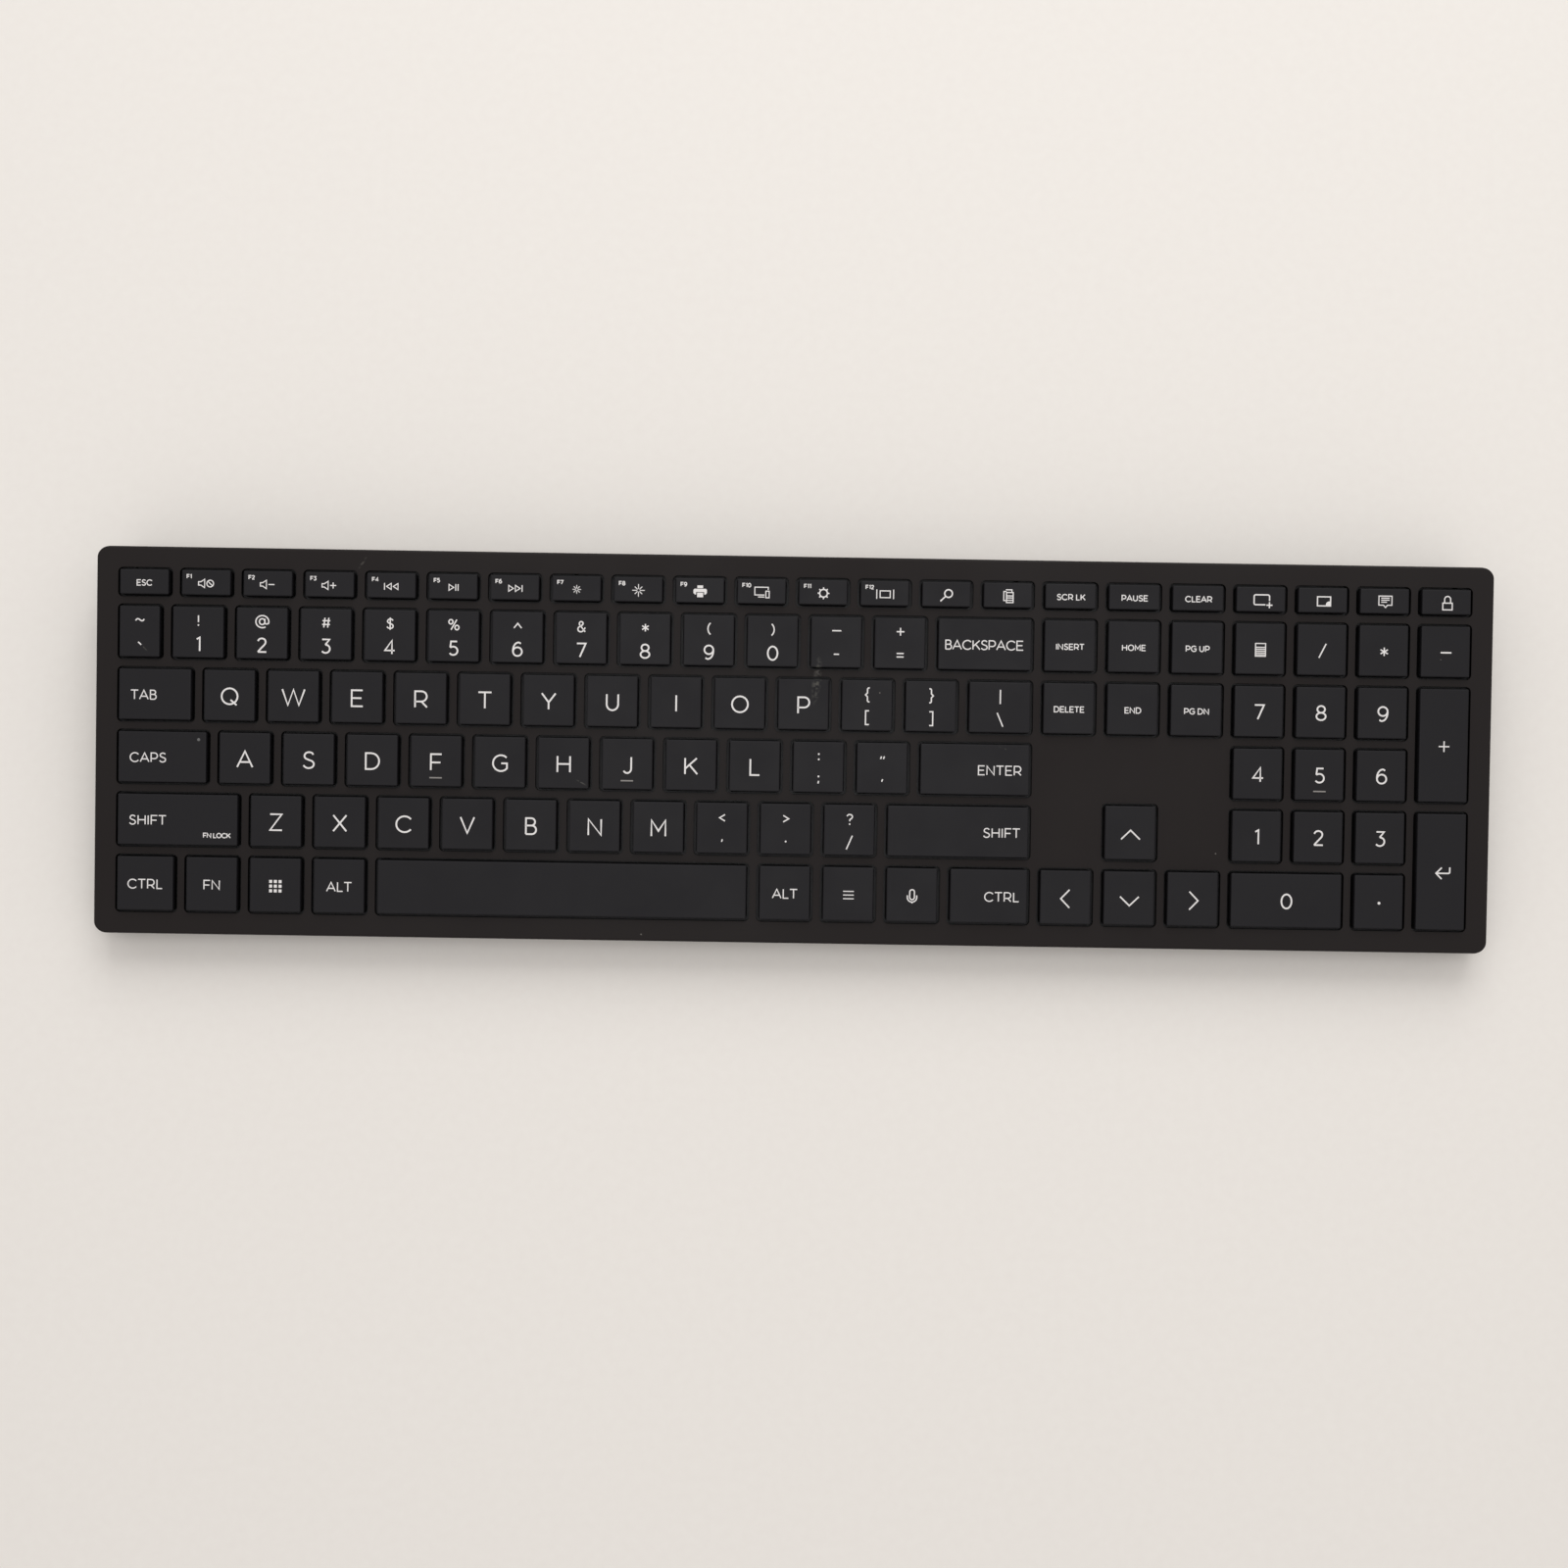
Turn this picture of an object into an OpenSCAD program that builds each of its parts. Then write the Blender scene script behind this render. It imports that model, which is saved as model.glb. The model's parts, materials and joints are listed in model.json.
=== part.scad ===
// Full-size wireless keyboard with 111 keys, each in its own window of the deck.
// The deck's frame has its origin in the middle of the deck, with x to the right, y to the rear
// and z out of the deck. on_deck() lays that frame over the desk at the deck's slope.

/* [Key layout] */
// Distance between the centres of two neighbouring standard keys of a row
key_pitch = 19; // [17.5:0.05:23]
// Distance between the centres of two neighbouring rows
row_pitch = 18.65; // [17.5:0.05:23]
// Distance between the centres of two neighbouring columns of the number pad
pad_pitch = 18.45; // [17.5:0.05:22.5]
// Depth of the windows of the rear row
function_window_d = 8.85; // [8.4:0.05:12]
// Depth of the windows of the front row
front_window_d = 17.5; // [14:0.05:22]
// Width of the bar that the deck leaves between two windows
bar_w = 2.05; // [1.6:0.05:2.6]

/* [Deck and cases] */
// Deck from the side edge to the first window
side_margin = 6.45; // [6.4:0.05:9]
// Deck from the rear edge to the first window
rear_margin = 6.25; // [6.2:0.05:9]
// Deck from the front edge to the last window
front_margin = 6.4; // [6.2:0.05:9]
// Slope of the deck towards the typist, in degrees
deck_tilt = 6; // [5:0.1:8]
// Thickness of the deck
deck_t = 1.5; // [1.2:0.1:1.8]
// Thickness of the upright walls of both cases
wall_t = 1.8; // [1.6:0.1:2.2]
// Thickness of the floor of the bottom case
floor_t = 1.8; // [1.7:0.1:2.4]
// Height of the top case's skirt, from the deck to the parting line
skirt_h = 5; // [4.6:0.1:6]
// Radius of the four outer corners, seen from above
corner_r = 4.2; // [3:0.1:6]
// Radius of the edge round the deck
deck_edge_r = 0.8; // [0.4:0.1:1.2]
// Radius of the edge round the underside
belly_r = 3.5; // [2:0.1:4]
// Radius of the corners of the windows
window_r = 1.5; // [1:0.1:2]
// Height of the tongue that locates the top case on the bottom case
tongue_h = 0.9; // [0.6:0.1:1]

/* [Keycaps] */
// Gap between a keycap and the left and right sides of its window
key_gap_x = 0.7; // [0.5:0.05:0.9]
// Gap between a keycap and the front and rear sides of its window
key_gap_y = 0.5; // [0.4:0.05:0.7]
// Height of a keycap's top above the deck
cap_rise = 1.3; // [1:0.1:1.6]
// Height of a keycap's skirt, from its rim to its top
cap_h = 3; // [2.8:0.1:3.6]
// Radius of the upright corners of a keycap
cap_r = 1.3; // [0.8:0.05:1.5]
// How far the top of a keycap is set in from its rim on each side
cap_draft = 0.25; // [0.15:0.05:0.4]
// Radius of the edge round a keycap's top
cap_edge_r = 0.35; // [0.2:0.05:0.5]
// Thickness of a keycap's top
roof_t = 1.1; // [0.9:0.1:1.2]
// Thickness of a keycap's skirt
cap_wall = 0.9; // [0.8:0.05:1]
// Travel of a key
travel = 1.8; // [1.5:0.1:2.2]

/* [Plungers and domes] */
// Width of the square plunger under a keycap
stem_w = 5.6; // [5:0.1:6]
// Running gap between a plunger and its guide
guide_gap = 0.18; // [0.15:0.01:0.2]
// Wall of a plunger's guide
guide_wall = 0.8; // [0.7:0.05:0.9]
// Thickness of the frame that carries the guides
frame_t = 1; // [0.8:0.1:1.4]
// Height of the lugs that keep a plunger in its guide
lug_h = 0.7; // [0.5:0.1:0.9]
// How far a lug reaches out of its plunger
lug_reach = 0.55; // [0.4:0.05:0.7]
// Diameter of the round guide pegs at the ends of a long key
peg_d = 2.4; // [2:0.1:2.8]
// Distance of a guide peg from the end of its keycap
peg_inset = 6; // [5:0.1:7]
// Thickness of the rubber sheet that carries the domes
sheet_t = 0.5; // [0.4:0.1:0.8]
// Outer diameter of a dome where it leaves the sheet
dome_d = 9.6; // [8.6:0.1:10.4]
// Diameter of a dome's flat top
dome_top_d = 4.4; // [4:0.1:5]
// Thickness of a dome's skirt
dome_skin = 0.45; // [0.35:0.05:0.6]
// Thickness of the three printed films together
membrane_t = 0.3; // [0.25:0.05:0.4]
// Thickness of the steel plate under the films
plate_t = 0.5; // [0.4:0.1:0.8]

/* [Space bar wire] */
// Diameter of the steel wire that keeps the space bar level
wire_d = 1.2; // [1:0.1:1.3]
// Distance between the two arms of the wire
wire_span = 90; // [80:1:100]
// Length of an arm along the deck
wire_reach = 9; // [8.5:0.1:9.5]
// Height of the wire's end above its pivot, with the key up
wire_lift = 2.2; // [2:0.1:2.3]
// Length of the wire's bent ends
wire_hook = 3.5; // [3:0.1:4.5]

/* [Battery bay] */
// Diameter of a battery
battery_d = 10.5; // [10:0.1:10.6]
// Length of a battery, with its contact nub
battery_l = 44.5; // [43.3:0.1:45]
// Distance from the rear foot of the housing to the middle of the batteries
battery_inset = 12; // [11.5:0.1:16]
// Room at the ends of the two batteries for the contacts and the spring
contact_room = 9; // [8:0.1:11]
// Thickness of the battery door
door_t = 1.4; // [1.2:0.1:1.5]
// Width of the tongues along the sides of the door
door_tongue = 1; // [0.8:0.1:1.4]
// Distance from the door's front edge to the middle of the batteries
door_front = 9.5; // [8.5:0.1:12]

/* [Circuit board and switch] */
// Place of the circuit board to the right of the middle
board_x = 112; // [95:1:135]
// Width of the circuit board
board_w = 58; // [48:1:64]
// Depth of the circuit board
board_d = 15; // [14:0.5:18]
// Thickness of the circuit board
board_t = 1; // [0.8:0.1:1.6]
// Travel of the power switch
switch_travel = 3; // [2:0.1:3.5]
// Width of the knob of the power switch
knob_w = 6; // [5:0.1:7]

/* [Feet and screws] */
// Height of the rubber feet below the housing
foot_h = 0.8; // [0.6:0.1:1.2]
// Depth of the pockets that hold the feet
foot_pocket = 0.5; // [0.3:0.1:0.7]
// Length of a foot
foot_l = 42; // [30:1:50]
// Width of a foot
foot_w = 6; // [5:0.5:8]
// Distance from the outer edge to the middle of a screw
screw_inset = 4.1; // [4:0.05:4.3]
// Shank diameter of a screw
screw_d = 1.6; // [1.4:0.1:1.7]
// Head diameter of a screw
head_d = 3.8; // [3.2:0.1:4]
// Height of a screw's head
head_h = 1; // [0.8:0.1:1.2]

/* [Hidden] */
$fn = 48;
LETTERS = "qwertyuiopasdfghjklzxcvbnm";
LETTER_NODES = [for (c = LETTERS) str("key_", c)];
LONE_KEY_NODES = ["key_space", "key_enter", "key_backspace", "key_tab", "key_caps",
    "key_left_shift", "key_right_shift"];
GROUP_NODES = ["number_row_keys", "punctuation_keys", "function_keys", "system_keys",
    "pad_icon_keys", "left_modifier_keys", "right_modifier_keys", "navigation_keys",
    "arrow_keys", "pad_operator_keys", "pad_number_keys", "pad_tall_keys"];
KEY_NODES = concat(LETTER_NODES, LONE_KEY_NODES, GROUP_NODES);
HOUSING_NODES = ["top_case", "key_frame", "bottom_case", "battery_door", "batteries",
    "battery_contacts", "circuit_board", "membrane", "dome_sheet", "support_plate",
    "power_slider", "rubber_feet", "screws", "space_wire", "caps_lens"];

// Colours as the photo shows them, and plain ones inside
cap_colour = "#202124";
case_colour = "#262423";
inner_colour = "#3a3a3c";
rubber_colour = "#1a1a1a";
steel_colour = "#b4b6b8";

// Widths of the keys, in units of the key pitch
main_units = 14.5;
nav_units = 3;
pad_columns = 4;
function_count = 15;
function_units = main_units / function_count;
grave_units = 5 / 6;
tab_units = 4 / 3;
caps_units = 19 / 12;
shift_units = 25 / 12;
ctrl_units = 13 / 12;
space_units = 6;
space_at = ctrl_units + 3;

// Clearances
seat_gap = 0.05;    // between pieces that lie on each other
slide_gap = 0.2;    // round a piece that slides, and under one that is pressed
crush_room = 0.6;   // left between a pressed plunger and the rubber sheet
part_gap = 0.3;     // between an inner piece and the walls round it
fuse = 0.3;         // how far a form runs into the one it is joined to
past = 1;           // how far a cut runs out of the form it is made in
cavity_r = 0.5;     // radius of the inner corners of the bottom case

// Levels in the deck's frame, from the keycaps down
cap_bottom = cap_rise - cap_h;
roof_level = cap_rise - roof_t;
guide_top = roof_level - travel - slide_gap;
frame_top = cap_bottom - travel - slide_gap;
frame_bottom = frame_top - frame_t;
lug_top = frame_bottom - seat_gap;
stem_bottom = lug_top - lug_h;
dome_top = stem_bottom - slide_gap;
sheet_top = stem_bottom - travel - crush_room;
sheet_bottom = sheet_top - sheet_t;
film_top = sheet_bottom - seat_gap;
film_bottom = film_top - membrane_t;
plate_top = film_bottom - seat_gap;
plate_bottom = plate_top - plate_t;
rest_level = plate_bottom - seat_gap;
tower_t = 0.9;      // of the bottom case between a screw's head and the support plate
head_seat = rest_level - tower_t;

// Outer sizes of the housing
body_w = 2 * side_margin + (main_units + nav_units) * key_pitch + pad_columns * pad_pitch - bar_w;
body_d = row_start(5) + row_depth(5) + front_margin;
front_h = (floor_t + 0.1) / cos(deck_tilt) - rest_level;
rear_h = front_h + body_d * tan(deck_tilt);
heel_turn = belly_r / tan((90 - deck_tilt) / 2) - belly_r;
deck_y = -(rear_h * sin(deck_tilt) - heel_turn) / 2;
deck_z = foot_h + body_d / 2 * sin(deck_tilt) + front_h * cos(deck_tilt);
heel_y = deck_y + body_d / 2 * cos(deck_tilt) + rear_h * sin(deck_tilt);
toe_y = deck_y - body_d / 2 * cos(deck_tilt) + front_h * sin(deck_tilt);
floor_z = foot_h + floor_t;
tall = 60;          // higher than the whole housing, for forms that are cut off later
rib_t = 1.2;        // ribs, and the walls of the battery bay
short_rib = 12;     // length of the ribs that hold the key frame down
rib_back = 2;       // from the skirt to those ribs
rib_run = 44;       // depth of the floor's ribs, from the front edge
foot_side = 16;     // from a side of the housing, its front and its rear foot to a rubber foot
foot_front = 10;
foot_rear = 12;
FEET = concat([[0, toe_y + foot_front]],
    [for (s = [-1, 1], y = [toe_y + foot_front, heel_y - foot_rear])
        [s * (body_w / 2 - foot_l / 2 - foot_side), y]]);

// Battery bay, in the desk's frame
battery_y = heel_y - battery_inset;
door_top = foot_h + door_t;
bay_floor = door_top + slide_gap;
ledge_t = 1;
ledge_side = 4;     // how far the ledge is wider than the door on each side
lead_slot = 1.8;    // width of the slots that let the contacts' leads out of the bay
battery_z = bay_floor + battery_d / 2;
bay_l = 2 * battery_l + contact_room;
bay_d = battery_d + 2 * part_gap;
door_w = bay_l + 8;
grip_w = 16;        // grip grooves of the door: their width, and their place behind the batteries
grip_y = 4.5;
door_y = battery_y - door_front;
tongue_low = foot_h + door_t / 2;
groove_pitch = 1.5; // grooves of the door and of the switch
groove_h = 0.35;

// Batteries and their contacts, in the desk's frame
end_r = battery_d / 2 - 0.85;
nub_r = 1.9;
nub_h = 1;
contact_t = 0.4;
contact_w = battery_d - 0.7;
dimple_h = 0.8;
bay_right = bay_l / 2 - 2 * seat_gap;
right_battery_x = bay_right - contact_t - dimple_h - battery_l - seat_gap;
left_battery_x = right_battery_x - battery_l - seat_gap;
spring_l = left_battery_x + bay_right - contact_t - seat_gap;
spring_turns = 3.5;
spring_wire = 0.55;
spring_low_r = battery_d / 2 - 1.05;
spring_high_r = 2.6;
spring_sides = 8;
spring_steps = 56;

// Circuit board and switch, in the desk's frame
board_y = heel_y - 13;
board_z = floor_z + 2.2;
post_x = board_w / 2 - 4;
post_y = board_d / 2 - 2.2;
switch_x = board_x - 14;
switch_w = 9;
switch_d = 3.6;
knob_d = 4.4;
knob_h = 0.8;
neck = [2.4, 1.8];
post_r = 1.8;
pin_r = 0.8;
recess_gap = 0.8;   // round the knob's way in its recess, in x and in y
recess_end = 0.5;
chip = [6, 6, 1];   // parts on the board, and their places from its middle
chip_at = [-8, -2];
crystal = [3.2, 2.5, 0.8];
crystal_at = [1, -4];
connector_side = 1.5;
connector_d = 2;
connector_h = 1.6;
connector_y = 5.2;  // from the board's rear edge

// The films' tail: its place and width, its length under the films and its slot in the plate
tail_x = board_x + 10;
tail_y = (board_y + board_d / 2 - 3 - deck_y) / cos(deck_tilt);
tail_w = 22;
tail_l = 5;
tail_slot = 2;

// Screws along the rim, in the deck's frame
screw_x = body_w / 2 - screw_inset - 6.5;
screw_y = body_d / 2 - screw_inset;
SCREWS = concat(
    [for (sx = [-1, -1 / 3, 1 / 3, 1], sy = [-1, 1]) [sx * screw_x, sy * screw_y]],
    [for (s = [-1, 1]) [s * (body_w / 2 - screw_inset), 0]]);
boss_r = 2.05;
boss_bottom = sheet_top + seat_gap;
pilot_r = screw_d / 2 + seat_gap;
pilot_top = -deck_t + 0.4;
shank_top = -deck_t - 0.9;
screw_hole_r = screw_d / 2 + 0.4;
well_r = head_d / 2 + slide_gap;
tower_r = 3.2;
cross_l = 2.4;      // cross recess of a screw's head
cross_w = 0.6;
cross_h = 0.5;

// Space bar wire, in the deck's frame
wire_bend = 1.5;
wire_arm = norm([wire_reach, wire_lift]);
wire_end_level = roof_level - wire_d / 2 - 0.1;
wire_pivot_level = wire_end_level - wire_lift;
wire_pivot_y = -5.4;
clip_x = wire_span / 3;
clip_w = 2;
clip_d = 3;
clip_bore = wire_d + 0.24;
hook_x = wire_span / 2 - wire_hook + 1.6;
hook_gap = 0.4;     // in front of and behind a hook in its slot
slot_wall = 1.2;
slot_d = 4;

// Rows of windows, from the rear: where a window starts behind the rear edge, and its depth
function row_start(r) = rear_margin + (r == 0 ? 0 : function_window_d + bar_w + (r - 1) * row_pitch);
function row_depth(r) = r == 0 ? function_window_d : r == 5 ? front_window_d : row_pitch - bar_w;

// One window: its node, left side, width, rear side and depth, from the deck's rear left corner
function main_key(name, at, units, r) =
    [name, side_margin + at * key_pitch, units * key_pitch - bar_w, row_start(r), row_depth(r)];
function nav_key(name, column, r) = main_key(name, main_units + column, 1, r);
function pad_key(name, column, columns, r, last) =
    [name, side_margin + (main_units + nav_units) * key_pitch + column * pad_pitch,
        columns * pad_pitch - bar_w, row_start(r), row_start(last) + row_depth(last) - row_start(r)];
function letter_keys(letters, at, r) =
    [for (i = [0:len(letters) - 1]) main_key(str("key_", letters[i]), at + i, 1, r)];
function run_of_keys(name, at, count, r) = [for (i = [0:count - 1]) main_key(name, at + i, 1, r)];
function last_key(name, at, r) = main_key(name, at, main_units - at, r);

// The up arrow's window is as deep as the front row's and ends level with its own row
function up_arrow() = [for (k = [nav_key("arrow_keys", 1, 4)])
    [k[0], k[1], k[2], k[3] + k[4] - front_window_d, front_window_d]];

KEYS = concat(
    [for (i = [0:function_count - 1]) main_key("function_keys", i * function_units, function_units, 0)],
    [for (i = [0:2]) nav_key("system_keys", i, 0)],
    [for (i = [0:3]) pad_key("pad_icon_keys", i, 1, 0, 0)],
    [main_key("number_row_keys", 0, grave_units, 1)],
    run_of_keys("number_row_keys", grave_units, 12, 1),
    [last_key("key_backspace", grave_units + 12, 1)],
    [main_key("key_tab", 0, tab_units, 2)],
    letter_keys("qwertyuiop", tab_units, 2),
    run_of_keys("punctuation_keys", tab_units + 10, 2, 2),
    [last_key("punctuation_keys", tab_units + 12, 2)],
    [main_key("key_caps", 0, caps_units, 3)],
    letter_keys("asdfghjkl", caps_units, 3),
    run_of_keys("punctuation_keys", caps_units + 9, 2, 3),
    [last_key("key_enter", caps_units + 11, 3)],
    [main_key("key_left_shift", 0, shift_units, 4)],
    letter_keys("zxcvbnm", shift_units, 4),
    run_of_keys("punctuation_keys", shift_units + 7, 3, 4),
    [last_key("key_right_shift", shift_units + 10, 4)],
    [main_key("left_modifier_keys", 0, ctrl_units, 5)],
    run_of_keys("left_modifier_keys", ctrl_units, 3, 5),
    [main_key("key_space", space_at, space_units, 5)],
    run_of_keys("right_modifier_keys", space_at + space_units, 3, 5),
    [last_key("right_modifier_keys", space_at + space_units + 3, 5)],
    [for (r = [1, 2], i = [0:2]) nav_key("navigation_keys", i, r)],
    up_arrow(),
    [for (i = [0:2]) nav_key("arrow_keys", i, 5)],
    [for (i = [0:3]) pad_key("pad_operator_keys", i, 1, 1, 1)],
    [for (r = [2:4], i = [0:2]) pad_key("pad_number_keys", i, 1, r, r)],
    [pad_key("pad_number_keys", 0, 2, 5, 5), pad_key("pad_number_keys", 2, 1, 5, 5)],
    [pad_key("pad_tall_keys", 3, 1, 2, 3), pad_key("pad_tall_keys", 3, 1, 4, 5)]);

function keys_of(name) = [for (k = KEYS) if (k[0] == name) k];
function key_x(k) = k[1] + k[2] / 2 - body_w / 2;
function key_y(k) = body_d / 2 - k[3] - k[4] / 2;
function cap_w(k) = k[2] - 2 * key_gap_x;
function cap_d(k) = k[4] - 2 * key_gap_y;

// A plunger is as deep as its keycap has room for, with the guide's walls round it
function stem_d(k) =
    min(stem_w, cap_d(k) - 2 * (cap_wall + part_gap + guide_wall + guide_gap));

// Outer size of the guide round a plunger
function guide_out(w) = w + 2 * (guide_gap + guide_wall);

// A dome is no wider than its key's window is deep
function dome_r(k) = min(dome_d, k[4]) / 2;
dome_crown = 0.8;   // thickness of a dome's top
dome_bevel = 0.3;   // round a dome's top
dome_lean = 0.6;    // how far a dome's foot is thicker than its skirt

// Guide pegs stand at the ends of each key that is longer than one and a half standard keys
function peg_offset(k) =
    cap_w(k) > 1.5 * key_pitch ? [cap_w(k) / 2 - peg_inset, 0] :
    cap_d(k) > 1.5 * row_pitch ? [0, cap_d(k) / 2 - peg_inset] : undef;
PEGS = [for (k = KEYS, s = [-1, 1]) if (peg_offset(k) != undef)
    [key_x(k), key_y(k)] + s * peg_offset(k)];

// The caps lock key's light comes up through its keycap, near the rear right corner
CAPS_KEY = keys_of("key_caps")[0];
lens_x = key_x(CAPS_KEY) + CAPS_KEY[2] / 2 - 3.2;
lens_y = key_y(CAPS_KEY) + CAPS_KEY[4] / 2 - 3;
lens_r = 0.45;
lens_flange_r = 0.9;
lens_flange_t = 0.4;

SPACE_KEY = keys_of("key_space")[0];

// A raised line near the front of the two home keys and of the pad's middle key, for the fingers
HOME_KEYS = concat(keys_of("key_f"), keys_of("key_j"), [keys_of("pad_number_keys")[4]]);
home_line_w = 3.7;
home_line_d = 0.4;
home_line_h = 0.25;
home_line_y = 4.95; // from the middle of its key

// Direction from one point to another, as a vector of length 1
function unit(v) = v / norm(v);
// Half of the angle at corner b between its neighbours a and c
function half_angle(a, b, c) = acos(unit(a - b) * unit(c - b)) / 2;
// The corner b, cut where an arc of radius r meets its two edges
function cut_corner(a, b, c, r) = r <= 0 ? [b] :
    [b + unit(a - b) * r / tan(half_angle(a, b, c)), b + unit(c - b) * r / tan(half_angle(a, b, c))];
// Centre of the arc of radius r at corner b
function arc_centre(a, b, c, r) = b + unit(unit(a - b) + unit(c - b)) * r / sin(half_angle(a, b, c));

// A convex outline whose corners are true arcs
module rounded_outline(points, radii) {
    n = len(points);
    polygon([for (i = [0:n - 1])
        each cut_corner(points[(i + n - 1) % n], points[i], points[(i + 1) % n], radii[i])]);
    for (i = [0:n - 1])
        if (radii[i] > 0)
            translate(arc_centre(points[(i + n - 1) % n], points[i], points[(i + 1) % n], radii[i]))
                circle(radii[i]);
}

module rounded_rect(w, d, r) {
    rounded_outline([[-w / 2, -d / 2], [w / 2, -d / 2], [w / 2, d / 2], [-w / 2, d / 2]],
        [r, r, r, r]);
}

// Lays the deck's frame over the desk
module on_deck() {
    translate([0, deck_y, deck_z]) rotate([deck_tilt, 0, 0]) children();
}

// A slab of the deck's frame between two levels
module slab(low, high) {
    translate([0, 0, low]) linear_extrude(high - low) children();
}

// A box centred on x and y, between two levels
module block(x, y, w, d, low, high) {
    translate([x - w / 2, y - d / 2, low]) cube([w, d, high - low]);
}

// Extrudes an outline of y and z along x, over a width centred on x = 0
module across(w) {
    translate([-w / 2, 0, 0]) rotate([90, 0, 90]) linear_extrude(w) children();
}

// Extrudes an outline of x and z along y, over a depth centred on y = 0
module along(d) {
    translate([0, d / 2, 0]) rotate([90, 0, 0]) linear_extrude(d) children();
}

// The deck's outline, set in from the outer edge
module deck_outline(inset) {
    rounded_rect(body_w - 2 * inset, body_d - 2 * inset, max(corner_r - inset, 0.6));
}

// The section of a keycap: drafted sides and a rounded edge round the top
module cap_section(w) {
    side = w / 2 - cap_draft - cap_edge_r;
    level = cap_rise - cap_edge_r;
    polygon(concat(
        [[-w / 2, cap_bottom], [w / 2, cap_bottom]],
        [for (a = [0:30:90]) [side + cap_edge_r * cos(a), level + cap_edge_r * sin(a)]],
        [for (a = [90:30:180]) [-side + cap_edge_r * cos(a), level + cap_edge_r * sin(a)]]));
}

// A keycap with its hollow underside, centred on its own window
module cap_shell(w, d) {
    difference() {
        intersection() {
            slab(cap_bottom, cap_rise) rounded_rect(w, d, cap_r);
            across(w + 2 * past) cap_section(d);
            along(d + 2 * past) cap_section(w);
        }
        block(0, 0, w - 2 * cap_wall, d - 2 * cap_wall, cap_bottom - past, roof_level);
    }
}

// The plunger, with a lug on each side that catches under the frame
module plunger(w, d) {
    block(0, 0, w, d, stem_bottom, roof_level + fuse);
    block(0, 0, w + 2 * lug_reach, d / 2, stem_bottom, lug_top);
}

module key(k) {
    translate([key_x(k), key_y(k), 0]) {
        cap_shell(cap_w(k), cap_d(k));
        plunger(stem_w, stem_d(k));
        if (peg_offset(k) != undef)
            for (s = [-1, 1])
                translate(concat(s * peg_offset(k), stem_bottom))
                    cylinder(d = peg_d, h = roof_level + fuse - stem_bottom);
        if (len([for (h = HOME_KEYS) if (h == k) h]) > 0)
            block(0, -home_line_y, home_line_w, home_line_d, cap_rise - fuse,
                cap_rise + home_line_h);
    }
}

// Slots under the space bar's ends, in which the wire's hooks lie
module wire_slots() {
    slot_y = wire_pivot_y + wire_reach + 0.1;
    for (s = [-1, 1])
        difference() {
            block(s * hook_x, slot_y, slot_wall, slot_d, cap_bottom, roof_level + fuse);
            block(s * hook_x, slot_y, 2 * slot_wall, wire_d + 2 * hook_gap,
                wire_end_level - wire_d / 2 - slide_gap, roof_level);
        }
}

module keys(name) {
    color(cap_colour) on_deck() {
        if (name == "key_space") {
            key(SPACE_KEY);
            translate([key_x(SPACE_KEY), key_y(SPACE_KEY), 0]) wire_slots();
        } else if (name == "key_caps") {
            difference() {
                key(CAPS_KEY);
                translate([lens_x, lens_y, 0]) cylinder(r = lens_r, h = cap_rise + past);
            }
        } else {
            for (k = keys_of(name)) key(k);
        }
    }
}

// The clear pin that brings the caps lock light up through its keycap
module caps_lens() {
    color("white") on_deck() translate([lens_x, lens_y, 0]) {
        translate([0, 0, roof_level - lens_flange_t]) cylinder(r = lens_flange_r, h = lens_flange_t);
        translate([0, 0, roof_level - lens_flange_t]) cylinder(r = lens_r, h = roof_t + lens_flange_t);
    }
}

module windows() {
    for (k = KEYS)
        translate([key_x(k), key_y(k)]) rounded_rect(k[2], k[4], window_r);
}

// The section of the top case over its width or its depth, with the edge round the deck
module crown_section(w) {
    rounded_outline([[-w / 2, -skirt_h], [w / 2, -skirt_h], [w / 2, 0], [-w / 2, 0]],
        [0, 0, deck_edge_r, deck_edge_r]);
}

// Short ribs inside the rim that hold the key frame down
module hold_down_ribs() {
    rib_x = body_w / 2 - wall_t - rib_back;
    rib_y = body_d / 2 - wall_t - rib_back;
    for (s = [-1, 1]) {
        for (x = [-2 / 3, 0, 2 / 3])
            block(x * screw_x, s * rib_y, short_rib, rib_t,
                frame_top + seat_gap, -deck_t + fuse);
        for (y = [-1, 1])
            block(s * rib_x, y * screw_y / 2, rib_t, short_rib,
                frame_top + seat_gap, -deck_t + fuse);
    }
}

// The top case: the deck with its windows, the skirt, and the screw bosses behind the rim
module top_case() {
    color(case_colour) on_deck() difference() {
        union() {
            intersection() {
                union() {
                    slab(-deck_t, 0) difference() {
                        deck_outline(0);
                        windows();
                    }
                    slab(-skirt_h, -deck_t) difference() {
                        deck_outline(0);
                        deck_outline(wall_t);
                    }
                }
                across(body_w + 2 * past) crown_section(body_d);
                along(body_d + 2 * past) crown_section(body_w);
            }
            for (p = SCREWS)
                translate([p[0], p[1], boss_bottom])
                    cylinder(r = boss_r, h = -deck_t + fuse - boss_bottom);
            hold_down_ribs();
        }
        slab(-skirt_h - past, -skirt_h + tongue_h + seat_gap) difference() {
            deck_outline(wall_t / 2);
            deck_outline(wall_t);
        }
        for (p = SCREWS)
            translate([p[0], p[1], boss_bottom - past])
                cylinder(r = pilot_r, h = pilot_top - boss_bottom + past);
    }
}

// Holes for the bosses, the guide pegs and the caps lock light
module frame_holes() {
    for (p = SCREWS) translate(p) circle(boss_r + slide_gap);
    for (p = PEGS) translate(p) circle(peg_d / 2 + slide_gap);
    translate([lens_x, lens_y]) circle(lens_flange_r + part_gap);
}

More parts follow.
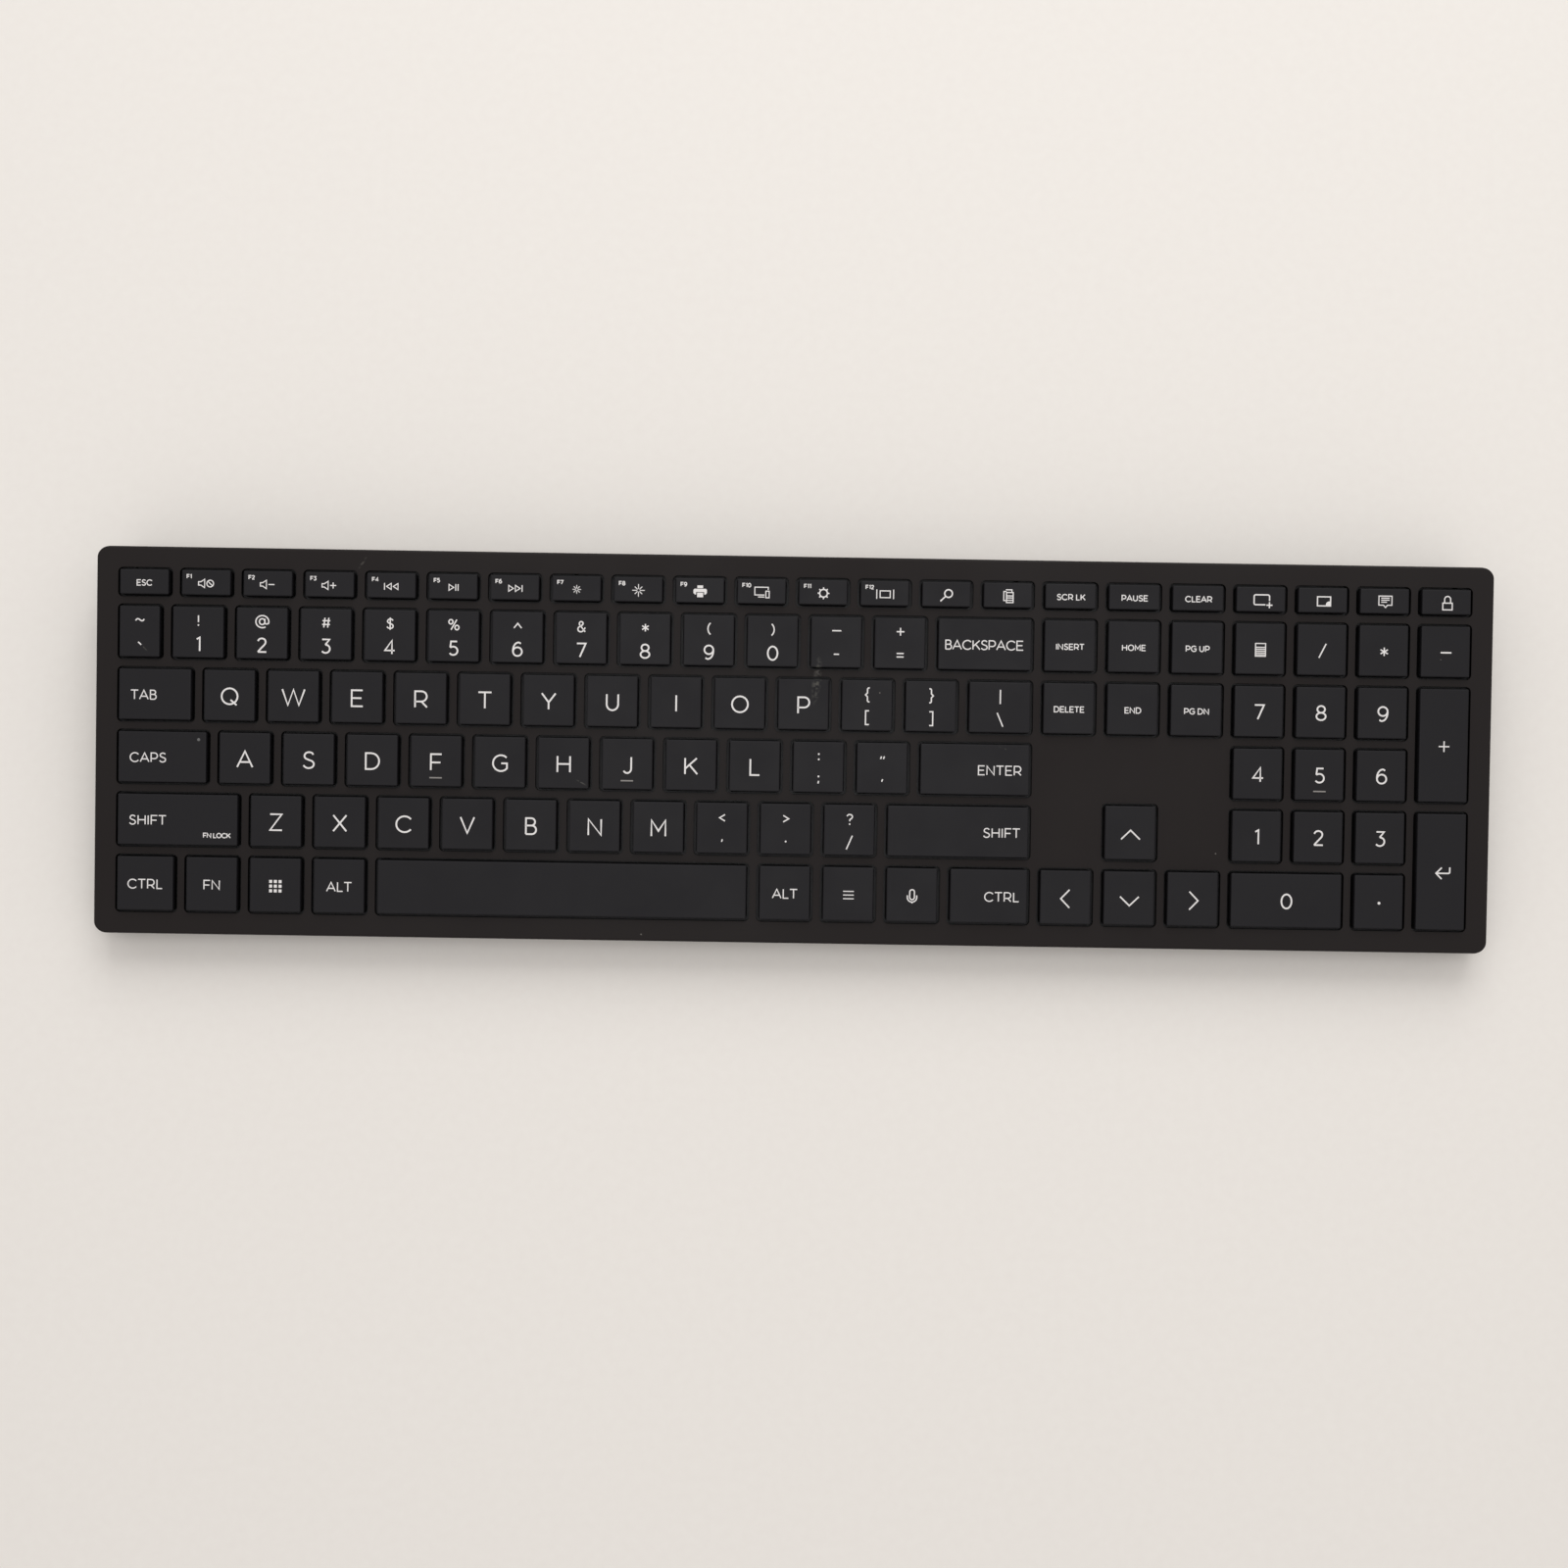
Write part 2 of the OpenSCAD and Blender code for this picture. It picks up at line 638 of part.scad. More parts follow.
// Two open clips in which the space bar's wire turns
module wire_clips() {
    for (s = [-1, 1])
        translate([key_x(SPACE_KEY) + s * clip_x, key_y(SPACE_KEY) + wire_pivot_y, 0])
            difference() {
                block(0, 0, clip_w, clip_d, frame_top - fuse, guide_top);
                translate([-clip_w, 0, wire_pivot_level]) rotate([0, 90, 0])
                    cylinder(d = clip_bore, h = 2 * clip_w);
                block(0, 0, 2 * clip_w, clip_bore, wire_pivot_level, guide_top + past);
            }
}

// The frame under the deck: one square guide for each plunger, and ribs that stand on the rubber
module key_frame() {
    inset = wall_t + part_gap;
    rib_low = sheet_top + seat_gap;
    rib_right = key_x(keys_of("pad_tall_keys")[0]) - pad_pitch / 2;
    rib_left = inset + fuse - body_w / 2;
    color(inner_colour) on_deck() {
        difference() {
            union() {
                slab(frame_bottom, frame_top) deck_outline(inset);
                for (k = KEYS)
                    translate([key_x(k), key_y(k), 0])
                        block(0, 0, guide_out(stem_w), guide_out(stem_d(k)),
                            frame_top - fuse, guide_top);
                slab(rib_low, frame_bottom + fuse) difference() {
                    deck_outline(inset);
                    deck_outline(inset + rib_t);
                }
                for (r = [1:4])
                    block((rib_left + rib_right) / 2, body_d / 2 - row_start(r) - row_pitch + bar_w / 2,
                        rib_right - rib_left, rib_t, rib_low, frame_bottom + fuse);
            }
            for (k = KEYS)
                translate([key_x(k), key_y(k), 0])
                    block(0, 0, stem_w + 2 * guide_gap, stem_d(k) + 2 * guide_gap,
                        frame_bottom - past, guide_top + past);
            slab(rib_low - past, frame_top + past) frame_holes();
        }
        wire_clips();
    }
}

// Screw holes through the sheets under the frame
module sheet_holes() {
    for (p = SCREWS) translate(p) circle(screw_hole_r);
}

// One rubber dome: a soft cone over a hollow, with a flat top that the plunger presses
module dome(r) {
    rise = dome_top - sheet_top;
    top_r = dome_top_d / 2;
    rotate_extrude() polygon([
        [r - dome_skin - dome_lean, -sheet_t], [r, -sheet_t], [r, 0],
        [top_r + dome_bevel, rise - 2 * dome_bevel], [top_r, rise], [0, rise],
        [0, rise - dome_crown], [top_r - dome_bevel, rise - dome_crown]]);
}

module dome_sheet() {
    color("#c8c8c4") on_deck() {
        slab(sheet_bottom, sheet_top) difference() {
            deck_outline(wall_t + part_gap);
            sheet_holes();
            for (k = KEYS) translate([key_x(k), key_y(k)]) circle(dome_r(k) - fuse);
            translate([lens_x, lens_y]) circle(lens_flange_r);
        }
        for (k = KEYS) translate([key_x(k), key_y(k), sheet_top]) dome(dome_r(k));
    }
}

// The printed films, with the tail that takes their tracks through the plate to the circuit board
module membrane() {
    color("#9a8f6a") on_deck() {
        slab(film_bottom, film_top) difference() {
            deck_outline(wall_t + part_gap);
            sheet_holes();
        }
        block(tail_x, tail_y, tail_w, membrane_t, film_bottom - tail_l, film_top);
    }
}

module support_plate() {
    color(steel_colour) on_deck() slab(plate_bottom, plate_top) difference() {
        deck_outline(wall_t + part_gap);
        sheet_holes();
        translate([tail_x, tail_y]) square([tail_w + 2, tail_slot], center = true);
    }
}

// The edge round the underside; inside, a tight one leaves room for the support plate's edge
function belly_corner(inset) = inset > 0 ? cavity_r : belly_r;

// The section of the bottom case from front to rear: the sloping walls and the flat underside
module belly_section(inset, low) {
    run = (low - foot_h) * tan(deck_tilt);
    rounded_outline(
        [[toe_y - run + inset - tall * sin(deck_tilt), low + tall * cos(deck_tilt)],
            [toe_y - run + inset, low],
            [heel_y - run - inset, low],
            [heel_y - run - inset - tall * sin(deck_tilt), low + tall * cos(deck_tilt)]],
        [0, belly_corner(inset), belly_corner(inset), 0]);
}

// The solid form of the bottom case, or of its hollow where it is set in
module belly_form(inset, low) {
    intersection() {
        on_deck() slab(-tall, inset > 0 ? 0 : -skirt_h) deck_outline(inset);
        across(body_w + 2 * past) belly_section(inset, low);
        along(body_d + tall) rounded_outline(
            [[-body_w / 2 + inset, low], [body_w / 2 - inset, low],
                [body_w / 2 - inset, low + tall], [-body_w / 2 + inset, low + tall]],
            [belly_corner(inset), belly_corner(inset), 0, 0]);
    }
}

// The space under the support plate, inside the walls
module under_plate() {
    intersection() {
        on_deck() slab(-tall, rest_level) deck_outline(fuse);
        across(body_w) belly_section(fuse, foot_h + fuse);
    }
}

// Ribs of the floor that carry the support plate
module floor_ribs() {
    for (i = [1:5], s = [-1, 1])
        block(s * i * body_w / 12, toe_y + rib_run / 2, rib_t, rib_run, foot_h, tall);
    for (i = [1, 2])
        block(0, toe_y + i * rib_run / 2, body_w, rib_t, foot_h, tall);
}

// The walls round the batteries, and the ledge over the door
module bay_walls() {
    block(0, battery_y, bay_l + 2 * rib_t, bay_d + 2 * rib_t, bay_floor, tall);
    block(0, battery_y, door_w + 2 * ledge_side, 2 * (heel_y - battery_y), bay_floor,
        bay_floor + ledge_t);
}

// The pocket that the door slides into, open at the rear
module door_pocket(gap) {
    length = heel_y + 5 * past - door_y + gap;
    block(0, door_y - gap + length / 2, door_w + 2 * gap, length, foot_h - past, door_top + gap);
    block(0, door_y - gap + length / 2, door_w + 2 * (door_tongue + gap), length, tongue_low - gap / 2,
        door_top + gap);
}

module foot_pads(grow, low, high) {
    for (p = FEET)
        translate([p[0], p[1], low]) linear_extrude(high - low)
            rounded_rect(foot_l + 2 * grow, foot_w + 2 * grow, foot_w / 2 + grow - 0.01);
}

module rubber_feet() {
    color(rubber_colour) foot_pads(0, 0, foot_h + foot_pocket - seat_gap);
}

// The bottom case: a wedge-shaped tray with ribs, screw towers and the battery bay
module bottom_case() {
    color(case_colour) difference() {
        union() {
            difference() {
                belly_form(0, foot_h);
                belly_form(wall_t, floor_z);
            }
            on_deck() slab(-skirt_h - past, -skirt_h + tongue_h) difference() {
                deck_outline(wall_t / 2 + 2 * seat_gap);
                deck_outline(wall_t);
            }
            intersection() {
                under_plate();
                union() {
                    floor_ribs();
                    bay_walls();
                    on_deck() for (p = SCREWS)
                        translate([p[0], p[1], -tall]) cylinder(r = tower_r, h = tall);
                }
            }
            for (x = [-1, 1], y = [-1, 1])
                translate([board_x + x * post_x, board_y + y * post_y, floor_z - fuse]) {
                    cylinder(r = post_r, h = board_z - seat_gap - floor_z + fuse);
                    cylinder(r = pin_r, h = board_z + board_t + 0.5 - floor_z + fuse);
                }
        }
        door_pocket(slide_gap);
        block(0, battery_y, bay_l, bay_d, foot_h, tall);
        for (s = [-1, 1])
            block(s * (bay_l - lead_slot) / 2, battery_y - (bay_d + rib_t) / 2, lead_slot,
                rib_t + 2 * fuse, battery_z, tall);
        on_deck() for (p = SCREWS)
            translate([p[0], p[1], 0]) {
                translate([0, 0, -tall]) cylinder(r = well_r, h = tall + head_seat);
                translate([0, 0, -tall]) cylinder(r = screw_hole_r, h = tall);
            }
        foot_pads(slide_gap, foot_h - past, foot_h + foot_pocket);
        block(switch_x, board_y, knob_w + switch_travel + 2 * recess_gap, knob_d + 2 * recess_end,
            foot_h - past, foot_h + knob_h + 2 * seat_gap);
        block(switch_x, board_y, neck[0] + switch_travel + 2 * part_gap, neck[1] + 2 * part_gap,
            foot_h - past, floor_z + past);
    }
}

// The battery door: a plate that slides in under the bay from the rear, flush with the housing
module battery_door() {
    color(case_colour) difference() {
        intersection() {
            belly_form(0, foot_h);
            door_pocket(0);
        }
        for (i = [-2:2])
            block(0, battery_y + grip_y + i * groove_pitch, grip_w, groove_pitch / 2,
                foot_h - past, foot_h + groove_h);
    }
}

module battery() {
    rotate([0, 90, 0]) rotate_extrude() polygon([
        [0, 0], [end_r, 0], [end_r, 0.3], [battery_d / 2, 0.3],
        [battery_d / 2, battery_l - nub_h - 0.3],
        [end_r, battery_l - nub_h], [nub_r, battery_l - nub_h], [nub_r, battery_l], [0, battery_l]]);
}

module batteries() {
    color("#8a8d90")
        for (x = [right_battery_x, left_battery_x])
            translate([x, battery_y, battery_z]) battery();
}

// Points of a ring round the coil spring's wire, at the part t of its length
function spring_ring(t) = [for (i = [0:spring_sides - 1])
    let (a = 360 * spring_turns * t, b = 360 * i / spring_sides,
        r = spring_low_r + (spring_high_r - spring_low_r) * t + spring_wire / 2 * cos(b))
        [spring_wire / 2 + t * (spring_l - spring_wire) + spring_wire / 2 * sin(b), r * cos(a), r * sin(a)]];

// The coil spring that bears on the first battery's flat end
module spring() {
    points = [for (i = [0:spring_steps]) each spring_ring(i / spring_steps)];
    sides = [for (i = [0:spring_steps - 1], j = [0:spring_sides - 1])
        let (a = i * spring_sides, b = a + spring_sides, k = (j + 1) % spring_sides)
            [a + k, b + k, b + j, a + j]];
    polyhedron(points, concat(sides,
        [[for (j = [spring_sides - 1:-1:0]) j]],
        [[for (j = [0:spring_sides - 1]) spring_steps * spring_sides + j]]));
}

module battery_contacts() {
    color(steel_colour) {
        for (s = [-1, 1])
            block(s * (bay_right - contact_t / 2), battery_y, contact_t, contact_w,
                bay_floor + slide_gap, bay_floor + contact_w);
        translate([contact_t - bay_right - 2 * seat_gap, battery_y, battery_z]) spring();
        translate([bay_right - contact_t - dimple_h, battery_y, battery_z])
            rotate([0, 90, 0]) cylinder(r1 = nub_r - 0.5, r2 = nub_r + 0.3, h = dimple_h);
    }
}

// The circuit board with its radio chip, crystal, film connector and switch
module circuit_board() {
    color("#1f5c3a") translate([board_x, board_y, board_z]) {
        difference() {
            block(0, 0, board_w, board_d, 0, board_t);
            for (x = [-1, 1], y = [-1, 1])
                translate([x * post_x, y * post_y, -past])
                    cylinder(r = pin_r + slide_gap, h = board_t + 2 * past);
        }
        block(chip_at[0], chip_at[1], chip[0], chip[1], board_t - fuse, board_t + chip[2]);
        block(crystal_at[0], crystal_at[1], crystal[0], crystal[1], board_t - fuse,
            board_t + crystal[2]);
        block(tail_x - board_x, board_d / 2 - connector_y, tail_w + 2 * connector_side, connector_d,
            board_t - fuse, board_t + connector_h);
        block(switch_x - board_x, 0, switch_w, switch_d, floor_z + part_gap - board_z, fuse);
    }
}

// The knob of the power switch, shown in its ON place
module power_slider() {
    x = switch_x - switch_travel / 2;
    color(rubber_colour) {
        difference() {
            block(x, board_y, knob_w, knob_d, foot_h + seat_gap, foot_h + knob_h);
            for (i = [-1:1])
                block(x + i * groove_pitch, board_y, groove_pitch / 3, knob_d + past, foot_h - past,
                    foot_h + groove_h);
        }
        block(x, board_y, neck[0], neck[1], foot_h + knob_h - fuse, floor_z + slide_gap);
    }
}

// The screws that clamp the cases and the sheets between them
module screws() {
    color(steel_colour) on_deck() for (p = SCREWS)
        translate([p[0], p[1], head_seat]) {
            difference() {
                translate([0, 0, -head_h]) cylinder(d = head_d, h = head_h - seat_gap);
                for (a = [0, 90])
                    rotate([0, 0, a]) block(0, 0, cross_l, cross_w, -head_h - past, -head_h + cross_h);
            }
            translate([0, 0, -head_h / 2]) cylinder(d = screw_d, h = shank_top - head_seat + head_h / 2);
        }
}

// A quarter turn of wire round the origin, from +x to +y
module wire_elbow() {
    rotate_extrude(angle = 90) translate([wire_bend, 0]) circle(d = wire_d);
}

// The space bar's wire in its own plane: the pivot rod, an arm at each end and a hook on each arm
module flat_wire() {
    straight = wire_span / 2 - wire_bend;
    rotate([0, 90, 0]) cylinder(d = wire_d, h = 2 * straight, center = true);
    for (m = [0, 1])
        mirror([m, 0, 0]) {
            translate([straight, wire_bend, 0]) rotate([0, 0, -90]) wire_elbow();
            translate([wire_span / 2, wire_bend, 0]) rotate([-90, 0, 0])
                cylinder(d = wire_d, h = wire_arm - 2 * wire_bend);
            translate([straight, wire_arm - wire_bend, 0]) wire_elbow();
            translate([wire_span / 2 - wire_hook, wire_arm, 0]) rotate([0, 90, 0])
                cylinder(d = wire_d, h = wire_hook - wire_bend);
        }
}

module space_wire() {
    color(steel_colour) on_deck()
        translate([key_x(SPACE_KEY), key_y(SPACE_KEY) + wire_pivot_y, wire_pivot_level])
            rotate([atan2(wire_lift, wire_reach), 0, 0]) flat_wire();
}

top_case();
key_frame();
bottom_case();
battery_door();
batteries();
battery_contacts();
circuit_board();
membrane();
dome_sheet();
support_plate();
power_slider();
rubber_feet();
screws();
space_wire();
caps_lens();
for (name = KEY_NODES)
    keys(name);
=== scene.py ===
import json
import math

import bmesh
import bpy
import numpy as np
from bpy.props import FloatProperty, FloatVectorProperty, PointerProperty, StringProperty
from mathutils import Euler, Matrix, Vector
from mathutils.geometry import tessellate_polygon


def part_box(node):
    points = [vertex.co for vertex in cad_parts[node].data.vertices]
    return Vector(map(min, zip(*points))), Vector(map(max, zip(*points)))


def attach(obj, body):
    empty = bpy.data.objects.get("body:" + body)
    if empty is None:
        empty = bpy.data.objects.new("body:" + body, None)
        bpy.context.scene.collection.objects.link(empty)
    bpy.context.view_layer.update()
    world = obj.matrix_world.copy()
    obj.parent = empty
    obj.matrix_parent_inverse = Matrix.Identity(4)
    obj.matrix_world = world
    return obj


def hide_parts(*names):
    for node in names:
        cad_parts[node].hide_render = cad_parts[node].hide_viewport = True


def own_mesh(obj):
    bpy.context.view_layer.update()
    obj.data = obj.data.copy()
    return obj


bl_info = {
    "name": "Wireless Keyboard Finish",
    "version": (1, 0, 0),
    "blender": (4, 5, 0),
    "location": "View3D > Sidebar > Keyboard",
    "description": "Finishes, printed legends, rubber domes and studio for a wireless keyboard",
    "category": "Object",
}

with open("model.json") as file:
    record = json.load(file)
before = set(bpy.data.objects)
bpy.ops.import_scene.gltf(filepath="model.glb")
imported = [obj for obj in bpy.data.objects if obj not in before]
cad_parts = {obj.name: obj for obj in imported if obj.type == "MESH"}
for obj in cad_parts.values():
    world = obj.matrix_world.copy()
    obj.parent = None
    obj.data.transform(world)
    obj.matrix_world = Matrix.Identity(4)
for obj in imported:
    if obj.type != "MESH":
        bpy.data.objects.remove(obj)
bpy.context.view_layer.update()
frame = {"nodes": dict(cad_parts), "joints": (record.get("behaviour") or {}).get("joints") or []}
NODES = frame["nodes"]
KEY_NODES = sorted(n for n in NODES if n.startswith("key_") and n != "key_frame" or n.endswith("_keys"))
MM = 0.001

# The deck's own frame: x to the right, y to the rear along the slope, z out of the deck
PRESS = Vector(next(j["axis"] for j in frame["joints"] if j["name"] == "key_space_travel")).normalized()
UP = -PRESS
REAR = Vector((0, UP.z, -UP.y))
SLOPE = math.atan2(-UP.y, UP.z)


def points_of(name):
    """Vertices of a CAD node, in metres."""
    mesh = NODES[name].data
    points = np.zeros(len(mesh.vertices) * 3)
    mesh.vertices.foreach_get("co", points)
    return points.reshape(-1, 3)


def along_deck(points):
    """The same points in the directions of the deck's frame, in mm."""
    return np.stack([points[:, 0], points @ np.array(REAR), points @ np.array(UP)], axis=1) / MM


CASE = along_deck(points_of("top_case"))
DECK_LEVEL = CASE[:, 2].max()
DECK_MIDDLE = (CASE[:, 1].max() + CASE[:, 1].min()) / 2
TO_DECK = Matrix.Translation((UP * DECK_LEVEL + REAR * DECK_MIDDLE) * MM) @ Matrix(
    ((1, 0, 0, 0), (0, REAR.y, UP.y, 0), (0, REAR.z, UP.z, 0), (0, 0, 0, 1))) @ Matrix.Scale(MM, 4)


def deck_points(name):
    """Vertices of a CAD node in the deck's frame, in mm."""
    return along_deck(points_of(name)) - np.array([0, DECK_MIDDLE, DECK_LEVEL])


CAP_LEVEL = deck_points("key_space")[:, 2].max()


def flat_faces(name, level):
    """Boxes (left, right, front, rear) of a node's faces at a level: rows from the rear, each from the left."""
    points = deck_points(name)
    group = {}

    def find(a):
        while group[a] != a:
            a = group[a]
        return a

    for face in NODES[name].data.polygons:
        corners = [tuple(points[i].round(2)) for i in face.vertices]
        if max(abs(c[2] - level) for c in corners) < 0.02:
            for c in corners:
                group.setdefault(c, c)
                group[find(c)] = find(corners[0])
    islands = {}
    for c in group:
        islands.setdefault(find(c), []).append(c)
    boxes = [(min(c[0] for c in i), max(c[0] for c in i), min(c[1] for c in i), max(c[1] for c in i))
             for i in islands.values()]
    return sorted(boxes, key=lambda b: (-round(b[3] / 4), b[0]))


# ---- Sizes and colours that a user may change ----

class KeyboardPrintSettings(bpy.types.PropertyGroup):
    letter_height: FloatProperty(
        name="Letter height", description="Height of the letters, in mm", default=5.25, min=3, max=7)
    letter_stroke: FloatProperty(
        name="Letter stroke", description="Width of the letters' strokes, in mm", default=0.5, min=0.3, max=0.9)
    digit_height: FloatProperty(
        name="Digit height", description="Height of the number row's digits, in mm", default=4.5, min=3, max=6)
    word_height: FloatProperty(
        name="Word height", description="Height of words such as SHIFT, in mm", default=3.0, min=2, max=4)
    film: FloatProperty(
        name="Film", description="Thickness of the printed ink, in mm", default=0.02, min=0.005, max=0.05)
    colour: StringProperty(name="Ink colour", description="sRGB colour of the printed legends", default="#ebe9e7")


class KeyboardPlasticSettings(bpy.types.PropertyGroup):
    keys: StringProperty(name="Keycap colour", description="sRGB colour of the keycaps", default="#141316")
    deck: StringProperty(name="Case colour", description="sRGB colour of the deck and the cases", default="#140f0e")
    gloss: FloatProperty(
        name="Gloss", description="Specular level of the moulded surfaces", default=0.24, min=0, max=1)


class KeyboardDomeSettings(bpy.types.PropertyGroup):
    foot: FloatProperty(
        name="Foot", description="Outer diameter of a dome's foot, in mm", default=9.6, min=8, max=11)
    top: FloatProperty(name="Top", description="Diameter of a dome's flat top, in mm", default=4.4, min=3, max=6)
    sheet: FloatProperty(
        name="Sheet", description="Thickness of the sheet that carries the domes, in mm", default=0.5, min=0.3, max=1)
    pressed: FloatProperty(
        name="Pressed", description="Part of a dome's height that is left when its key is pressed", default=0.26,
        min=0.1, max=0.5, subtype="FACTOR")


class KeyboardStageSettings(bpy.types.PropertyGroup):
    distance: FloatProperty(
        name="Camera distance", description="From the camera to the deck", default=0.6, min=0.3, max=2, unit="LENGTH")
    lens: FloatProperty(name="Lens", description="Focal length of the camera, in mm", default=46.1, min=20, max=200)
    turn: FloatVectorProperty(
        name="Camera turn", description="The camera's small turns against the deck's frame",
        default=(math.radians(0.994), math.radians(0.157), math.radians(-0.893)), subtype="EULER")
    aim: FloatVectorProperty(
        name="Camera aim", description="How far the deck's middle lies to the right of the picture's middle and "
        "above it, in mm", default=(2.87, 10.1), size=2)
    surround: FloatProperty(
        name="Surround", description="Strength of the studio's even light", default=0.65, min=0, max=2)
    softbox: FloatProperty(
        name="Softbox", description="Power of the lamp behind the keyboard, in watts", default=11.0, min=0, max=50)
    top_light: FloatProperty(
        name="Top light", description="Power of the lamp over the keyboard, in watts", default=1.5, min=0, max=50)


# ---- Materials ----

def linear(text):
    """An sRGB colour such as #d8d6d4 as linear values with alpha."""
    values = [int(text[i:i + 2], 16) / 255 for i in (1, 3, 5)]
    return tuple(v / 12.92 if v <= 0.04045 else ((v + 0.055) / 1.055) ** 2.4 for v in values) + (1.0,)


def add(tree, kind, links=(), **settings):
    """Adds a node with its settings; a link is a socket of the node and a value or the output socket it reads."""
    node = tree.nodes.new(kind)
    for name, value in settings.items():
        setattr(node, name, value)
    for socket, value in links:
        if isinstance(value, bpy.types.NodeSocket):
            tree.links.new(value, node.inputs[socket])
        else:
            node.inputs[socket].default_value = value
    return node


def surface(name, **sockets):
    """A new material with a Principled BSDF whose sockets have these constant values."""
    material = bpy.data.materials.new(name)
    material.use_nodes = True
    tree = material.node_tree
    tree.nodes.clear()
    shader = add(tree, "ShaderNodeBsdfPrincipled", [(k.replace("_", " "), v) for k, v in sockets.items()])
    add(tree, "ShaderNodeOutputMaterial", [("Surface", shader.outputs["BSDF"])])
    where = add(tree, "ShaderNodeTexCoord").outputs["Object"]
    return material, tree, shader, where


def feed(tree, shader, **outputs):
    """Lets outputs of the tree drive the shader's sockets of these names."""
    for name, output in outputs.items():
        tree.links.new(output, shader.inputs[name.replace("_", " ")])


def per_metre(mm):
    """Texture scale at which one cell of a pattern measures this many mm."""
    return 1000 / mm


def clouded(tree, where, mm, detail, one, other):
    """Soft clouds of a size in mm, and a tone that drifts between two colours with them."""
    cloud = add(tree, "ShaderNodeTexNoise", [("Vector", where), ("Scale", per_metre(mm)), ("Detail", detail)])
    tone = add(tree, "ShaderNodeMix", [
        ("Factor", cloud.outputs["Fac"]), ("A", linear(one)), ("B", linear(other))], data_type="RGBA")
    return cloud.outputs["Fac"], tone.outputs["Result"]


def grained(tree, where, mm, strength, depth):
    """Normals of a moulded grain, with the size of its cells and its depth in mm."""
    grain = add(tree, "ShaderNodeTexNoise", [("Vector", where), ("Scale", per_metre(mm)), ("Detail", 2.0)])
    bump = add(tree, "ShaderNodeBump", [
        ("Height", grain.outputs["Fac"]), ("Strength", strength), ("Distance", depth * MM)])
    return bump.outputs["Normal"]


def wiped(tree, where, ink, low, high, tone, marks):
    """Mixes a paler tone into ink where there are marks, (x, y, width, length, turn) on the deck in mm and degrees."""
    blotches = add(tree, "ShaderNodeTexNoise", [("Vector", where), ("Scale", per_metre(1.1)), ("Detail", 2.0)])
    broken = add(tree, "ShaderNodeMapRange", [
        ("Value", blotches.outputs["Fac"]), ("From Min", low), ("From Max", high)])
    for x, y, width, length, turn in marks:
        place = add(tree, "ShaderNodeMapping", [
            ("Vector", where), ("Location", TO_DECK @ Vector((x, y, CAP_LEVEL))),
            ("Rotation", (SLOPE, 0, math.radians(turn))),
            ("Scale", (width / 2 * MM, length / 2 * MM, MARK_DEPTH * MM))], vector_type="TEXTURE")
        spot = add(tree, "ShaderNodeTexGradient", [("Vector", place.outputs["Vector"])], gradient_type="SPHERICAL")
        share = add(tree, "ShaderNodeMath", [
            (0, spot.outputs["Fac"]), (1, broken.outputs["Result"])], operation="MULTIPLY")
        ink = add(tree, "ShaderNodeMix", [
            ("Factor", share.outputs[0]), ("A", ink), ("B", linear(tone))], data_type="RGBA").outputs["Result"]
    return ink


def specks(tree, where, ink, grid_mm, size, share):
    """Mixes dust specks into ink: a share of the cells of a grid holds one, its radius a part of the cell."""
    cells = add(tree, "ShaderNodeTexVoronoi", [("Vector", where), ("Scale", per_metre(grid_mm))])
    close = add(tree, "ShaderNodeMath", [(0, cells.outputs["Distance"]), (1, size)], operation="LESS_THAN")
    chosen = add(tree, "ShaderNodeSeparateColor", [("Color", cells.outputs["Color"])])
    rare = add(tree, "ShaderNodeMath", [(0, chosen.outputs["Red"]), (1, share)], operation="LESS_THAN")
    speck = add(tree, "ShaderNodeMath", [(0, close.outputs[0]), (1, rare.outputs[0])], operation="MULTIPLY")
    return add(tree, "ShaderNodeMix", [
        ("Factor", speck.outputs[0]), ("A", ink), ("B", linear("#6a6661"))], data_type="RGBA").outputs["Result"]


def painted_wall_shade(tree, where, ink, low, high):
    """Darkens ink below a height over the deck, in mm: painted shade on the sides of the windows and of the keys,
    which lie in the shaded gaps between keys.
    """
    height = add(tree, "ShaderNodeVectorMath", [(0, where), (1, UP)], operation="DOT_PRODUCT").outputs["Value"]
    face = add(tree, "ShaderNodeMapRange", [
        ("Value", height), ("From Min", (DECK_LEVEL + low) * MM), ("From Max", (DECK_LEVEL + high) * MM)])
    # below the lower height the ink turns to the near-black of the painted shade
    mixed = add(tree, "ShaderNodeMix", [
        ("Factor", face.outputs["Result"]), ("A", linear("#070607")), ("B", ink)], data_type="RGBA")
    return mixed.outputs["Result"], height


# Where something has wiped along the rear edge, and between two keys of the number row and the row below
WIPE = (6.6, 21.2, 3.2, 16.0, -6)
SCUFF = (-129.4, 53.9, 0.9, 5.4, -34)
SCRATCHES = ((-194.1, 27.8, 0.5, 4.2, 45), (-63.2, -10.6, 0.5, 4.0, 62), (62.4, 1.6, 0.5, 3.0, 70))
# How far above and below the keys' faces a mark reaches, in mm
MARK_DEPTH = 3
# From the deck's outer edges to the nearest window, and a little less, in mm
OUTER_WALL = 3


